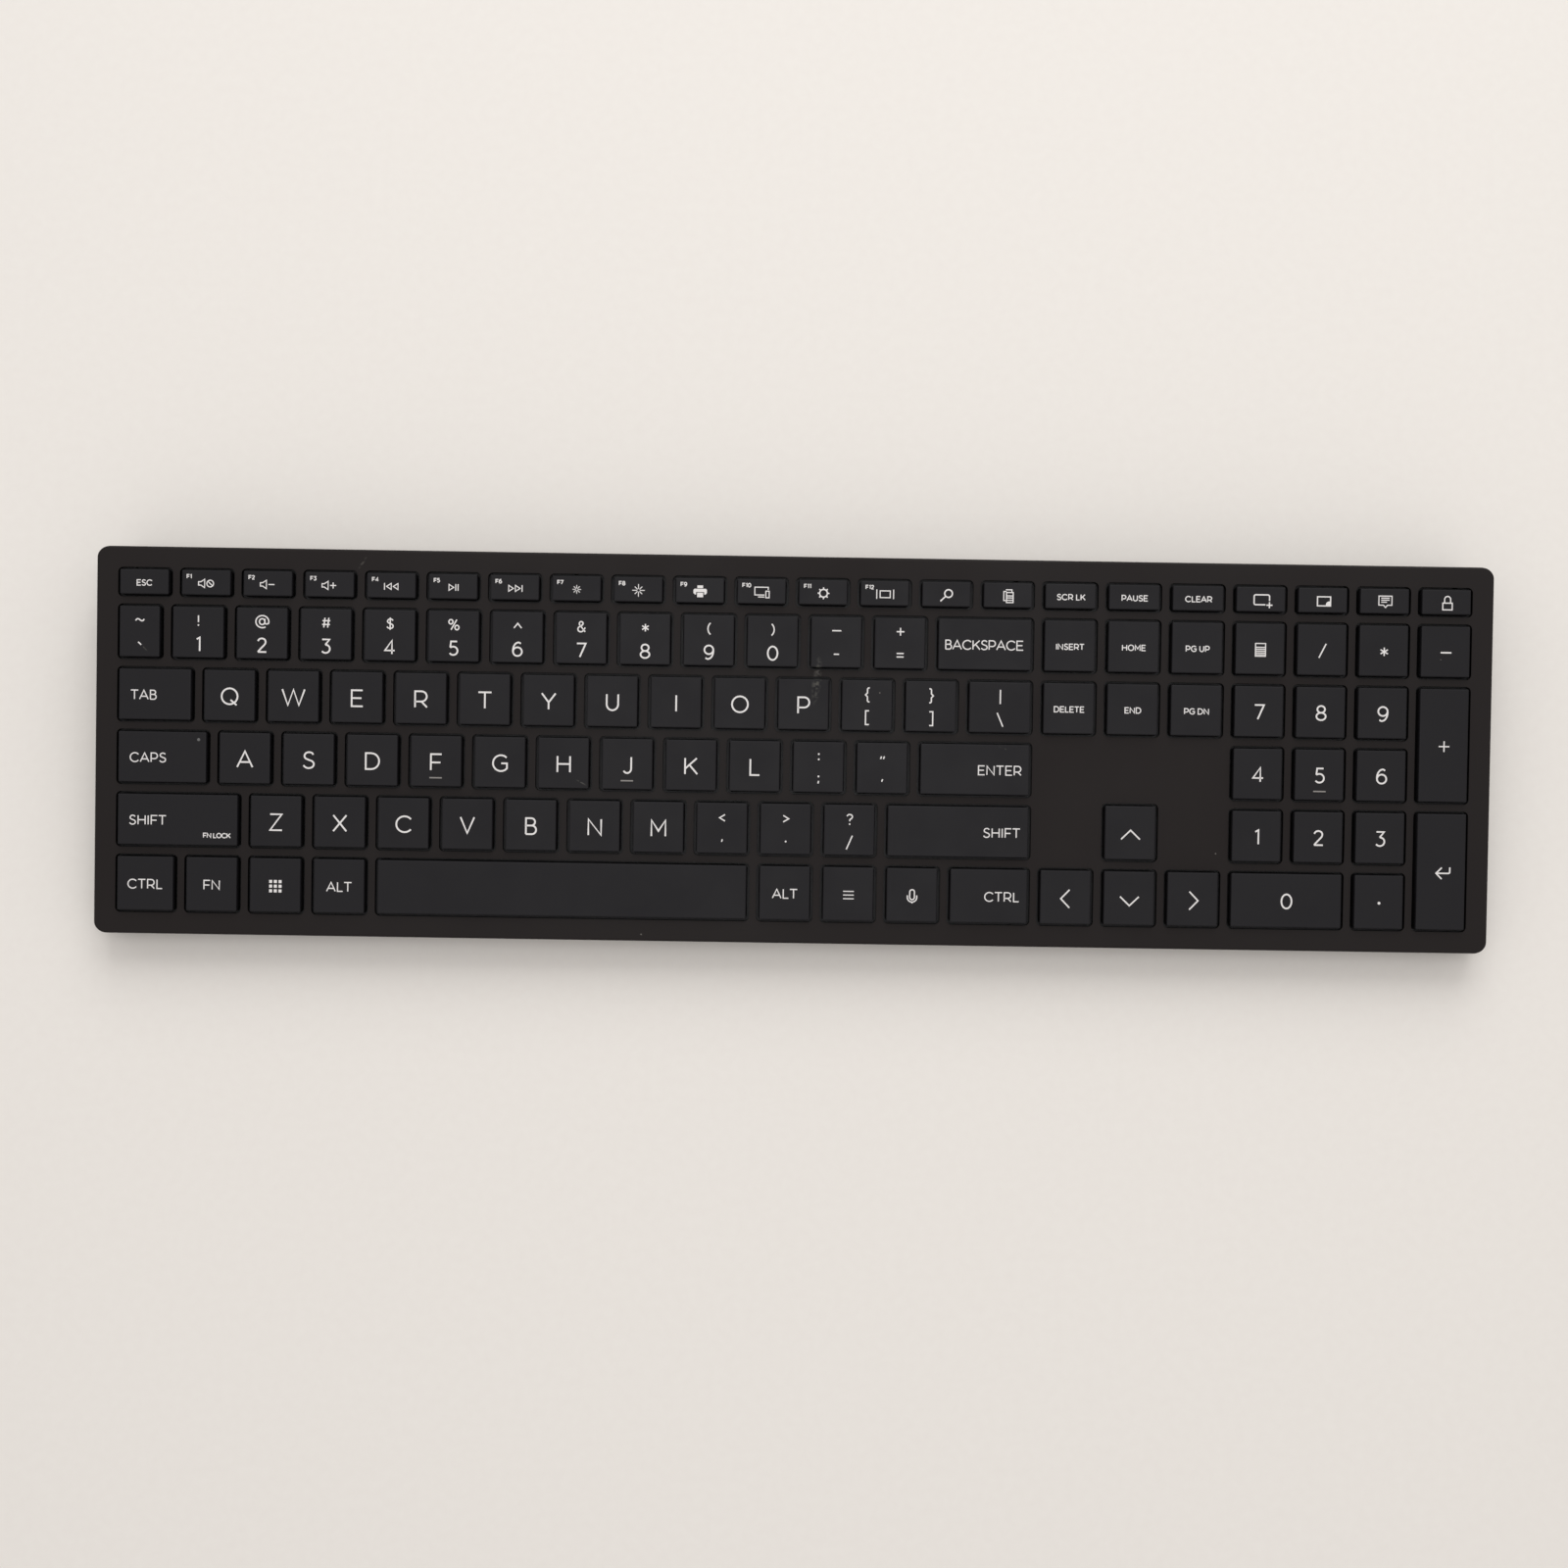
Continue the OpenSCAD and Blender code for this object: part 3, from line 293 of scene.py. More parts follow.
def keycap_abs():
    # ABS keycap, spark-eroded and lacquered: a fine dull grain, with faint shiny patches where fingers land
    look = bpy.context.scene.keyboard_plastic
    material, tree, shader, where = surface("abs_keycap_matt_lacquer", IOR=1.5, Specular_IOR_Level=look.gloss)
    patches, tone = clouded(tree, where, 14, 3.0, look.keys, "#18171a")
    rough = add(tree, "ShaderNodeMapRange", [
        ("Value", patches), ("From Min", 0.35), ("From Max", 0.7), ("To Min", 0.5), ("To Max", 0.62)])
    # painted shade: the cap's sides are darkened low in their windows, where the gaps between keys lie in shade
    faces, height = painted_wall_shade(tree, where, tone, 0.1, 0.5)
    # the raised lines of F, J and the pad's 5, which stand above the keys' faces, are painted pale grey: a painted
    # highlight of the light they catch, with the lacquer thinned by wear
    face = (DECK_LEVEL + CAP_LEVEL) * MM
    raised = add(tree, "ShaderNodeMapRange", [
        ("Value", height), ("From Min", face + 0.06 * MM), ("From Max", face + 0.2 * MM)])
    worn_and_highlit = add(tree, "ShaderNodeMix", [
        ("Factor", raised.outputs["Result"]), ("A", faces), ("B", linear("#8a8784"))], data_type="RGBA")
    # dust: one cell in six of a 12 mm grid holds a speck of about 0.4 mm
    dusty = specks(tree, where, worn_and_highlit.outputs["Result"], 12, 0.018, 0.16)
    # the real grain is about 0.05 mm; it is drawn at 0.25 mm, so that it shows
    feed(tree, shader, Base_Color=wiped(tree, where, dusty, 0.42, 0.62, "#55544f", (WIPE, *SCRATCHES)),
         Roughness=rough.outputs["Result"], Normal=grained(tree, where, 0.25, 0.25, 0.03))
    return material


def inside_deck(tree, where):
    """1 inside the ring between the deck's outer edges and its windows, and 0 on the ring."""
    inside = 1.0
    for axis, way in enumerate((Vector((1, 0, 0)), REAR)):
        low, high = CASE[:, axis].min(), CASE[:, axis].max()
        along = add(tree, "ShaderNodeVectorMath", [(0, where), (1, way)], operation="DOT_PRODUCT")
        off = add(tree, "ShaderNodeMath", [
            (0, along.outputs["Value"]), (1, (low + high) / 2 * MM)], operation="SUBTRACT")
        size = add(tree, "ShaderNodeMath", [(0, off.outputs[0])], operation="ABSOLUTE")
        near = add(tree, "ShaderNodeMath", [
            (0, size.outputs[0]), (1, ((high - low) / 2 - OUTER_WALL) * MM)], operation="LESS_THAN").outputs[0]
        both = add(tree, "ShaderNodeMath", [(0, inside), (1, near)], operation="MULTIPLY")
        inside = both.outputs[0]
    return inside


def case_abs(windows):
    # ABS housing, spark-eroded: warmer and duller than the keys, with a few wiped-in smears and dust specks
    look = bpy.context.scene.keyboard_plastic
    name = "abs_deck_spark_eroded" if windows else "abs_housing_spark_eroded"
    material, tree, shader, where = surface(name, IOR=1.5, Specular_IOR_Level=look.gloss)
    cloud, tone = clouded(tree, where, 45, 4.0, look.deck, "#1a1413")
    rough = add(tree, "ShaderNodeMapRange", [
        ("Value", cloud), ("From Min", 0.3), ("From Max", 0.7), ("To Min", 0.52), ("To Max", 0.66)])
    if windows:
        # painted shade: the sides of the windows are darkened below the deck's face, inside the deck's outer ring
        tone = add(tree, "ShaderNodeMix", [
            ("Factor", inside_deck(tree, where)), ("A", tone), ("B", painted_wall_shade(tree, where, tone, -0.5, -0.15)[0])],
            data_type="RGBA").outputs["Result"]
    # dust: one cell in eight of a 9 mm grid holds a speck of about 0.3 mm
    dusty = specks(tree, where, tone, 9, 0.025, 0.12)
    # the real grain is about 0.08 mm; it is drawn at 0.3 mm, so that it shows
    feed(tree, shader, Base_Color=wiped(tree, where, dusty, 0.4, 0.6, "#6a6762", (WIPE, SCUFF)),
         Roughness=rough.outputs["Result"], Normal=grained(tree, where, 0.3, 0.35, 0.04))
    return material


def plain_moulding(name, colour, other, roughness, grain_mm):
    """A moulded plastic or rubber with a slight variation of its tone and a grain."""
    material, tree, shader, where = surface(name, IOR=1.5, Specular_IOR_Level=0.4, Roughness=roughness)
    feed(tree, shader, Base_Color=clouded(tree, where, 12, 3.0, colour, other)[1],
         Normal=grained(tree, where, grain_mm, 0.4, 0.05))
    return material


def rolled_steel(name, colour, low, high, stretch):
    """Steel with the fine lines of its rolling or drawing, which run along x and draw out its highlights."""
    material, tree, shader, where = surface(name, Metallic=1.0, Base_Color=linear(colour))
    lines = add(tree, "ShaderNodeMapping", [
        ("Vector", where), ("Scale", (per_metre(stretch), per_metre(0.4), per_metre(0.4)))])
    streaks = add(tree, "ShaderNodeTexNoise", [
        ("Vector", lines.outputs["Vector"]), ("Scale", 1.0), ("Detail", 4.0)]).outputs["Fac"]
    rough = add(tree, "ShaderNodeMapRange", [("Value", streaks), ("To Min", low), ("To Max", high)])
    bump = add(tree, "ShaderNodeBump", [("Height", streaks), ("Strength", 0.2), ("Distance", 0.02 * MM)])
    feed(tree, shader, Roughness=rough.outputs["Result"], Normal=bump.outputs["Normal"])
    return material


def printed_film():
    # PET film with printed silver tracks: amber and smooth, with dull grey lines 1.6 mm apart
    material, tree, shader, where = surface("pet_film_silver_tracks", IOR=1.57, Roughness=0.25)
    tracks = add(tree, "ShaderNodeTexWave", [
        ("Vector", where), ("Scale", per_metre(10)), ("Distortion", 1.5)], bands_direction="Y")
    mask = add(tree, "ShaderNodeMath", [(0, tracks.outputs["Fac"]), (1, 0.8)], operation="GREATER_THAN")
    tone = add(tree, "ShaderNodeMix", [
        ("Factor", mask.outputs[0]), ("A", linear("#9a8f6a")), ("B", linear("#8c8d8e"))], data_type="RGBA")
    feed(tree, shader, Base_Color=tone.outputs["Result"])
    return material


def circuit_laminate():
    # glass-epoxy board under green solder mask, with copper tracks showing through; black chips stand on it
    material, tree, shader, where = surface("fr4_green_solder_mask", IOR=1.55, Roughness=0.35)
    tracks = add(tree, "ShaderNodeTexBrick", [
        ("Vector", where), ("Scale", per_metre(4)), ("Mortar Size", 0.06), ("Color1", linear("#17482c")),
        ("Color2", linear("#1b5232")), ("Mortar", linear("#2f7048"))])
    height = add(tree, "ShaderNodeSeparateXYZ", [("Vector", where)])
    # the mask ends at the board's top face, above which stand the chip, the crystal and the connector
    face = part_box("circuit_board")[1].z - 1.55 * MM
    over = add(tree, "ShaderNodeMath", [(0, height.outputs["Z"]), (1, face)], operation="GREATER_THAN")
    tone = add(tree, "ShaderNodeMix", [
        ("Factor", over.outputs[0]), ("A", tracks.outputs["Color"]), ("B", linear("#18181a"))], data_type="RGBA")
    feed(tree, shader, Base_Color=tone.outputs["Result"])
    return material


def battery_sleeve():
    # shrunk-on printed sleeve: satin dark grey with a paler band, and bright steel at the ends
    material, tree, shader, where = surface("battery_shrink_sleeve", IOR=1.5, Roughness=0.3)
    place = add(tree, "ShaderNodeSeparateXYZ", [("Vector", where)])
    low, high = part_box("batteries")
    cell = (high.x - low.x) / 2
    # the part of the cell's length, counted from its outer end
    part = place.outputs["X"]
    for operation, value in (("SUBTRACT", low.x), ("PINGPONG", cell), ("DIVIDE", cell)):
        part = add(tree, "ShaderNodeMath", [(0, part), (1, value)], operation=operation).outputs[0]
    bands = add(tree, "ShaderNodeValToRGB", [("Fac", part)])
    bands.color_ramp.interpolation = "CONSTANT"
    bands.color_ramp.elements[0].color = linear("#a9abad")
    bands.color_ramp.elements[1].position = 0.02
    bands.color_ramp.elements[1].color = linear("#2b2e33")
    for position, colour in ((0.7, "#8f959c"), (0.74, "#2b2e33"), (0.97, "#a9abad")):
        bands.color_ramp.elements.new(position).color = linear(colour)
    feed(tree, shader, Base_Color=bands.outputs["Color"])
    return material


def light_pipe():
    # moulded polycarbonate with no light behind it: a small dull grey dot, flush with the dark keycap
    material, tree, shader, where = surface("polycarbonate_light_pipe", IOR=1.585, Roughness=0.3)
    feed(tree, shader, Base_Color=clouded(tree, where, 0.6, 2.0, "#565656", "#666666")[1])
    return material


def pad_ink():
    # pad-printed two-part ink: an even, slightly warm pale grey with the satin skin of a thick print
    look = bpy.context.scene.keyboard_print
    material, tree, shader, where = surface("pad_print_ink", IOR=1.48, Roughness=0.5, Specular_IOR_Level=0.3)
    feed(tree, shader, Base_Color=clouded(tree, where, 1.5, 2.0, look.colour, "#dfdddb")[1])
    return material


# ---- Meshes ----

def put(name, data):
    """A new object in the scene for this mesh, lamp or camera."""
    thing = bpy.data.objects.new(name, data)
    bpy.context.scene.collection.objects.link(thing)
    return thing


def arc(x, y, rx, ry, start, end, steps):
    """Points of an arc with both its ends, from one angle to another in degrees."""
    angles = [math.radians(start + (end - start) * i / steps) for i in range(steps + 1)]
    return [(x + rx * math.cos(a), y + ry * math.sin(a)) for a in angles]


def circle(x, y, radius, steps):
    """Points of a circle."""
    return arc(x, y, radius, radius, 0, 360 - 360 / steps, steps - 1)


# Two points of an outline closer than this, in mm, are one
SAME_POINT = 1e-6
# Degrees from one point of a glyph's arc to the next
ARC_STEP = 18
# Strokes that cross lie this far above each other, in mm, so that no faces coincide, and start again after so many
STROKE_RISE, STROKE_LEVELS = 0.003, 9


def ribbon(points, width):
    """Left and right sides of a stroke round a centre line, mitred at its corners, and whether it is closed."""
    closed = math.dist(points[0], points[-1]) < SAME_POINT
    if closed:
        points = points[:-1]
    left, right = [], []
    for i, p in enumerate(points):
        before = points[i - 1] if i or closed else None
        after = points[(i + 1) % len(points)] if i < len(points) - 1 or closed else None
        normals = []
        for a, b in ((before, p), (p, after)):
            if a and b:
                d = math.dist(a, b)
                normals.append(((a[1] - b[1]) / d, (b[0] - a[0]) / d))
        x, y = sum(n[0] for n in normals), sum(n[1] for n in normals)
        square = max(x * x + y * y, 1e-9)
        # a sharp corner is cut at 0.9 of the width
        reach = min(width / 2 * len(normals) / square, width * 0.9 / math.sqrt(square))
        left.append((p[0] + x * reach, p[1] + y * reach))
        right.append((p[0] - x * reach, p[1] - y * reach))
    return left, right, closed


def smooth(points, steps=5):
    """A curve through the points (Catmull-Rom)."""
    ends = [points[0]] + points + [points[-1]]
    out = []
    for a, b, c, d in zip(ends, ends[1:], ends[2:], ends[3:]):
        for i in range(steps):
            t = i / steps
            out.append(tuple(0.5 * (2 * b[k] + (c[k] - a[k]) * t + (2 * a[k] - 5 * b[k] + 4 * c[k] - d[k]) * t ** 2
                                    + (3 * b[k] - a[k] - 3 * c[k] + d[k]) * t ** 3) for k in (0, 1)))
    return out + [points[-1]]


def read_stroke(text):
    """Kind and points of a stroke: x,y points, arcs as (cx,cy,rx,ry,from,to); ~ smooths it and # fills it."""
    points = []
    for token in text.lstrip("~#").split():
        if token[0] == "(":
            cx, cy, rx, ry, a, b = map(float, token[1:-1].split(","))
            points += arc(cx, cy, rx, ry, a, b, max(3, round(abs(b - a) / ARC_STEP)))
        else:
            points.append(tuple(map(float, token.split(","))))
    clean = [points[0]] + [q for p, q in zip(points, points[1:]) if math.dist(p, q) > SAME_POINT]
    return text[0] if text[0] in "~#" else "", smooth(clean) if text[0] == "~" else clean


def spread(points):
    """Area of an outline's box."""
    xs, ys = [p[0] for p in points], [p[1] for p in points]
    return (max(xs) - min(xs)) * (max(ys) - min(ys))


class Print:
    """Collects flat shapes, as closed plates, for one mesh."""

    def __init__(self):
        self.vertices, self.faces, self.layer = [], [], 0

    def plate(self, rings, quads, low, high):
        """Adds a plate from outlines, each a ring of points, and the flat faces between them."""
        start = len(self.vertices)
        flat = [p for ring in rings for p in ring]
        n = len(flat)
        self.vertices += [(x, y, high) for x, y in flat] + [(x, y, low) for x, y in flat]
        for q in quads:
            a, b, c = (flat[i] for i in q[:3])
            turn = (b[0] - a[0]) * (c[1] - a[1]) - (b[1] - a[1]) * (c[0] - a[0])
            q = q if turn > 0 else q[::-1]
            self.faces += [[start + i for i in q], [start + n + i for i in q[::-1]]]
        first = 0
        for ring in rings:
            area = sum(a[0] * b[1] - b[0] * a[1] for a, b in zip(ring, ring[1:] + ring[:1]))
            inner = first > 0
            for i in range(len(ring)):
                a, b = first + i, first + (i + 1) % len(ring)
                if (area < 0) != inner:
                    a, b = b, a
                self.faces.append([start + n + a, start + n + b, start + b, start + a])
            first += len(ring)

    def filled(self, rings, low, high):
        """Adds a plate inside the first ring, with a hole for each other one."""
        faces = tessellate_polygon([[Vector((x, y, 0)) for x, y in ring] for ring in rings])
        self.plate(rings, [list(f) for f in faces], low, high)

    def stroke(self, text, width, place, level, film):
        """Adds one stroke of a glyph; place turns its points into the key's frame."""
        kind, points = read_stroke(text)
        points = [place(p) for p in points]
        high = level + film + STROKE_RISE * (self.layer % STROKE_LEVELS)
        self.layer += 1
        if kind == "#":
            self.filled([points], level, high)
            return
        left, right, closed = ribbon(points, width)
        n = len(left)
        if closed:
            quads = [[i, (i + 1) % n, n + (i + 1) % n, n + i] for i in range(n)]
            outer, inner = (left, right) if spread(left) > spread(right) else (right, left)
            self.plate([outer, inner], quads, level, high)
        else:
            quads = [[i, i + 1, 2 * n - 2 - i, 2 * n - 1 - i] for i in range(n - 1)]
            self.plate([left + right[::-1]], quads, level, high)

    def make(self, name, material, matrix):
        """The collected plates as an object, with its place in its mesh."""
        mesh = bpy.data.meshes.new(name)
        mesh.from_pydata([matrix @ Vector(v) for v in self.vertices], [], self.faces)
        mesh.validate()
        mesh.materials.append(material)
        return put(name, mesh)


# Glyphs as strokes in a box 10 high; a width comes from the points
GLYPHS = {
    "A": "0,0 4.8,10 9.6,0;1.6,3.2 8,3.2",
    "B": "0,0 0,10 3.4,10 (3.4,7.7,2.3,2.3,90,-90) 0,5.4;3.4,5.4 (3.7,2.7,2.7,2.7,90,-90) 0,0",
    "C": "(5.2,5,5.2,5,40,320)",
    "D": "0,0 0,10 3.4,10 (3.4,5,5,5,90,-90) 0,0",
    "E": "6.8,10 0,10 0,0 7,0;0,5.1 6.1,5.1",
    "F": "6.7,10 0,10 0,0;0,4.8 6,4.8",
    "G": "(5,5,5,5,45,318) 8.8,2 8.8,4.9 5.2,4.9",
    "H": "0,0 0,10;7.9,0 7.9,10;0,5.1 7.9,5.1",
    "I": "0,0 0,10",
    "J": "4.8,10 4.8,3 (2.3,2.8,2.5,2.8,0,-150)",
    "K": "0,0 0,10;7.3,10 0,3.3;2.7,5.8 7.7,0",
    "L": "0,10 0,0 5.8,0",
    "M": "0,0 0,10 4.4,3.2 8.8,10 8.8,0",
    "N": "0,0 0,10 8,0 8,10",
    "O": "(5,5,5,5,90,450)",
    "P": "0,0 0,10 3.8,10 (3.8,6.8,3.2,3.2,90,-90) 0,3.6",
    "Q": "(5,5,5,5,90,450);5.6,2.8 9.4,-.5",
    "R": "0,0 0,10 4,10 (4,6.8,3.3,3.2,90,-90) 0,3.6;4,3.6 7.5,0",
    "S": "~6.1,8.5 5.2,9.6 3.4,10 1.5,9.4 .6,7.7 1.2,6.2 3.3,5.2 5.5,4.3 6.5,2.7 5.7,.8 3.5,0 1.5,.4 0,1.7",
    "T": "0,10 8.2,10;4.1,10 4.1,0",
    "U": "0,10 0,3.7 (3.6,3.7,3.6,3.7,180,360) 7.2,10",
    "V": "0,10 4.3,0 8.6,10",
    "W": "0,10 3.55,0 7,9.8 10.45,0 14,10",
    "X": "0,10 8.2,0;8.2,10 0,0",
    "Y": "0,10 4.3,4.3 8.6,10;4.3,4.3 4.3,0",
    "Z": "0,10 7.3,10 0,0 7.5,0",
    "0": "(3.6,5,3.6,5,90,450)",
    "1": "0,8.7 2.2,10 2.2,0",
    "2": "~.2,8 1.3,9.5 3.2,10 5.2,9.2 5.9,7.3 5,5.3 2.8,3 .2,0;.2,0 6.4,0",
    "3": ".4,10 5.8,10 2.7,6.1;2.7,6.1 (2.9,3.05,3.2,3.05,90,-145)",
    "4": "5.2,0 5.2,10 0,2.6 7.2,2.6",
    "5": "5.7,10 1.2,10 .7,5.5;.7,5.5 (2.9,3.1,3.2,3.1,112,-145)",
    "6": "(3.3,3.2,3.3,3.2,90,450);~5.7,9.2 4.1,10 2,9.2 .5,7 0,4.6 0,3.2",
    "7": "0,10 6.5,10 2.2,0",
    "8": "(3.3,7.6,2.7,2.4,90,450);(3.3,2.6,3.3,2.6,90,450)",
    "9": "(3.3,6.8,3.3,3.2,90,450);~.9,.8 2.5,0 4.6,.8 6.1,3 6.6,5.4 6.6,6.8",
    "~": "~0,4.2 1.3,5.7 3,5.8 5.4,4.2 7.2,4.2 8.4,5.7",
    "`": "0,8.4 3,5.6",
    "!": "0,10 0,3.4;#(0,.5,.8,.8,0,342)",
    "@": "(6.4,5.2,6.4,6,300,-22);(6.2,5.2,2.7,2.9,0,360);8.9,8.1 8.9,4.2 (10.6,4.2,1.7,1.3,180,330)",
    "#": "2.8,9.8 1.7,.2;6.6,9.8 5.5,.2;.4,6.9 8,6.9;.1,3.2 7.7,3.2",
    "$": "~6,8 5.2,9.1 3.4,9.5 1.6,8.9 .8,7.4 1.4,6 3.3,5.1 5.4,4.2 6.3,2.7 5.6,1 3.5,.4 1.6,.8 .2,2;3.4,11 3.4,-1",
    "%": "(2,7.8,2,2.2,0,360);(8,2.2,2,2.2,0,360);7.8,10 2.2,0",
    "^": "0,3.8 3.7,8.4 7.4,3.8",
    "&": "~7.4,0 3.4,5 1.7,7.2 1.8,9.1 3.4,10 5,9.1 5,7.3 3.2,5.8 1,4.4 .2,2.5 1.2,.6 3.3,0 5.6,1.2 7.3,4.2",
    "*": "3.2,1.3 3.2,8.7;0,3.1 6.4,6.9;0,6.9 6.4,3.1",
    "(": "(7,5,7,7.4,130,230)",
    "_": "0,0 9,0",
    "-": "0,0 5.2,0",
    "+": "0,5 7.6,5;3.8,1.2 3.8,8.8",
    "=": "0,3.3 7,3.3;0,6.7 7,6.7",
    "{": "4.2,12 2.9,11.8 2.1,10.8 2.1,6.9 .2,5 2.1,3.1 2.1,-.8 2.9,-1.8 4.2,-2",
    "[": "3.4,11.8 0,11.8 0,-1.8 3.4,-1.8",
    "|": "0,12 0,-2",
    "\\": "0,11.8 5.8,-1.8",
    "/": "0,-1.8 5.8,11.8",
    ":": "#(0,7.6,.9,.9,0,342);#(0,2.4,.9,.9,0,342)",
    ";": "#(0,7.6,.9,.9,0,342);.2,3.2 -.4,.6",
    '"': "1,8.4 0,5.8;3.8,8.4 2.8,5.8",
    "'": "1,8.4 0,6",
    "<": "5.4,8.2 0,5 5.4,1.8",
    ",": ".7,2.4 0,0",
    ".": "#(0,0,.9,.9,0,342)",
    "?": "~.2,8.3 1.3,9.6 3,10 4.9,9.3 5.5,7.7 4.6,6.1 3.2,5 2.9,3.4;#(2.9,.5,.8,.8,0,342)",
    " ": "",
}
SPEAKER = "-2.3,-.5 -1.6,-.5 -.5,-1.25 -.5,1.25 -1.6,.5 -2.3,.5 -2.3,-.5"
# Icons as strokes in mm round the middle of the key
ICONS = {
    "mute": SPEAKER + ";(1.15,0,1,1,0,360);.45,.7 1.85,-.7",
    "quieter": SPEAKER + ";.1,0 1.9,0",
    "louder": SPEAKER + ";.1,0 1.9,0;1,-.9 1,.9",
    "previous": "-2.1,-1 -2.1,1;-.1,-.9 -.1,.9 -1.5,0 -.1,-.9;1.9,-.9 1.9,.9 .5,0 1.9,-.9",
    "play": "-1.3,-.9 -1.3,.9 .1,0 -1.3,-.9;.7,-1 .7,1;1.4,-1 1.4,1",
    "dimmer": "*8,.3,1.3",
    "brighter": "*4,.4,1.85;*4,.4,1.55,45",
    "printer": "#-1.7,.75 1.7,.75 2,.45 2,-.5 1.6,-.95 1.2,-.95 1.2,-.2 -1.2,-.2 -1.2,-.95 -1.6,-.95 -2,-.5 -2,.45;"
               "#-.85,.95 .85,.95 .85,1.75 -.85,1.75;#-.9,-.4 .9,-.4 .9,-1.75 -.9,-1.75",
    "screens": "1.9,.7 1.9,1.5 -2.1,1.5 -2.1,-.8 .8,-.8;-1.1,-1.4 .8,-1.4;1.2,.35 2.2,.35 2.2,-1.6 1.2,-1.6 1.2,.35",
    "gear": "(0,0,1.15,1.15,0,360);*8,1.25,1.75",
    "display": "-2.5,-1.4 -2.5,1.4;2.5,-1.4 2.5,1.4;-1.5,-1 1.5,-1 1.5,1 -1.5,1 -1.5,-1",
    "search": "(.5,.5,1.15,1.15,225,585);-.3,-.3 -1.9,-1.8",
    "pages": "-.6,1.4 -1.4,1.4 -1.4,-1.3 -.8,-1.3;-.8,1.9 1,1.9 1,1.1;-.6,1.1 1.4,1.1 1.4,-1.9 -.6,-1.9 -.6,1.1;"
             "-.6,.1 1.4,.1;-.6,-.5 1.4,-.5;-.6,-1.2 1.4,-1.2",
    "snip": "1.2,-1.35 -1.7,-1.35 (-1.7,-.85,.5,.5,270,180) (-1.7,1.1,.5,.5,180,90) (1.9,1.1,.5,.5,90,0) 2.4,-.2;"
            "1.5,-1.45 3.3,-1.45;2.4,-2.35 2.4,-.55",
    "corner": "-1.75,-1.4 2.15,-1.4 2.15,1.3 -1.75,1.3 -1.75,-1.4;#.7,-1.3 .9,-.5 1.4,-.1 2.1,0 2.1,-1.3",
    "message": "-.5,-.9 -1.9,-.9 -1.9,1.8 2,1.8 2,-.9 .7,-.9 .1,-1.6 -.5,-.9;-1.2,1.2 1.3,1.2;-1.2,.6 1.3,.6;"
               "-1.2,0 .5,0",
    "lock": "-1.25,-2 1.55,-2 1.55,0 -1.25,0 -1.25,-2;-.75,0 -.75,1.1 (.15,1.1,.9,.9,180,0) 1.05,0",
    "calculator": "-1.5,-1.9 1.5,-1.9 1.5,1.9 -1.5,1.9 -1.5,-1.9;" + ";".join(
        f"-1.4,{y} 1.4,{y}" for y in (.75, .2, -.35, -.9, -1.45)),
    "divide": "-1,-2.1 1.1,2.1",
    "times": "*6,0,1.25,30",
    "minus": "-1.6,0 1.6,0",
    "plus": "-1.6,0 1.6,0;0,-1.6 0,1.6",
    "return": "2.5,1.7 2.5,.3 (2.1,.3,.4,.4,0,-90) -1.6,-.1;.1,1.6 -1.6,-.1 .1,-1.8",
    "up": "-2.8,-1.6 0,1.1 2.8,-1.6",
    "down": "-2.8,.8 0,-1.9 2.8,.8",
    "left": "1.1,2.6 -1.5,-.1 1.1,-2.8",
    "microphone": "-.7,1.2 (0,1.2,.7,.7,180,0) (0,-.4,.7,.7,0,-180) -.7,1.2;"
                  "-1.4,.2 -1.4,-.5 (0,-.5,1.4,1.3,180,360) 1.4,.2;0,-1.8 0,-2.2",
    "menu": "-1.6,1.1 1.6,1.1;-1.6,0 1.6,0;-1.6,-1.1 1.6,-1.1",
    "grid": ";".join(f"#{x - .45},{y - .45} {x + .45},{y - .45} {x + .45},{y + .45} {x - .45},{y + .45}"
                     for x in (-1.4, 0, 1.4) for y in (-1.4, 0, 1.4)),
    "dot": "#(0,0,.42,.42,0,342)",
}
MIRRORED = {")": "(", "}": "{", "]": "[", ">": "<", "next": "previous", "right": "left"}

# Legends of the keys in each node, from the rear row on, each row from the left
ROWS = {
    "number_row_keys": ["~`", "!1", "@2", "#3", "$4", "%5", "^6", "&7", "*8", "(9", ")0", "_-", "+="],
    "punctuation_keys": ["{[", "}]", "|\\", ":;", "\"'", "<,", ">.", "?/"],
    "function_keys": ["ESC", "F1 mute", "F2 quieter", "F3 louder", "F4 previous", "F5 play", "F6 next", "F7 dimmer",
                      "F8 brighter", "F9 printer", "F10 screens", "F11 gear", "F12 display", " search", " pages"],
    "system_keys": ["SCR LK", "PAUSE", "CLEAR"],
    "pad_icon_keys": [" snip", " corner", " message", " lock"],
    "navigation_keys": ["INSERT", "HOME", "PG UP", "DELETE", "END", "PG DN"],
    "arrow_keys": [" up", " left", " down", " right"],
    "pad_operator_keys": [" calculator", " divide", " times", " minus"],
    "pad_number_keys": ["7", "8", "9", "4", "5", "6", "1", "2", "3", "0", " dot"],
    "pad_tall_keys": [" plus", " return"],
    "left_modifier_keys": ["CTRL", "FN", " grid", "ALT"],
    "right_modifier_keys": ["ALT", " menu", " microphone", "CTRL"],
}
# Widths of the icons' strokes in mm, where they are not ICON_STROKE
ICON_STROKE = 0.3
ICON_STROKES = {
    "plus": 0.36, "return": 0.42, "dimmer": 0.2, "brighter": 0.24, "up": 0.43, "down": 0.43, "left": 0.43,
    "right": 0.43, "divide": 0.38, "minus": 0.44, "times": 0.38, "search": 0.4, "gear": 0.38, "microphone": 0.36,
    "snip": 0.38, "corner": 0.36, "lock": 0.34}
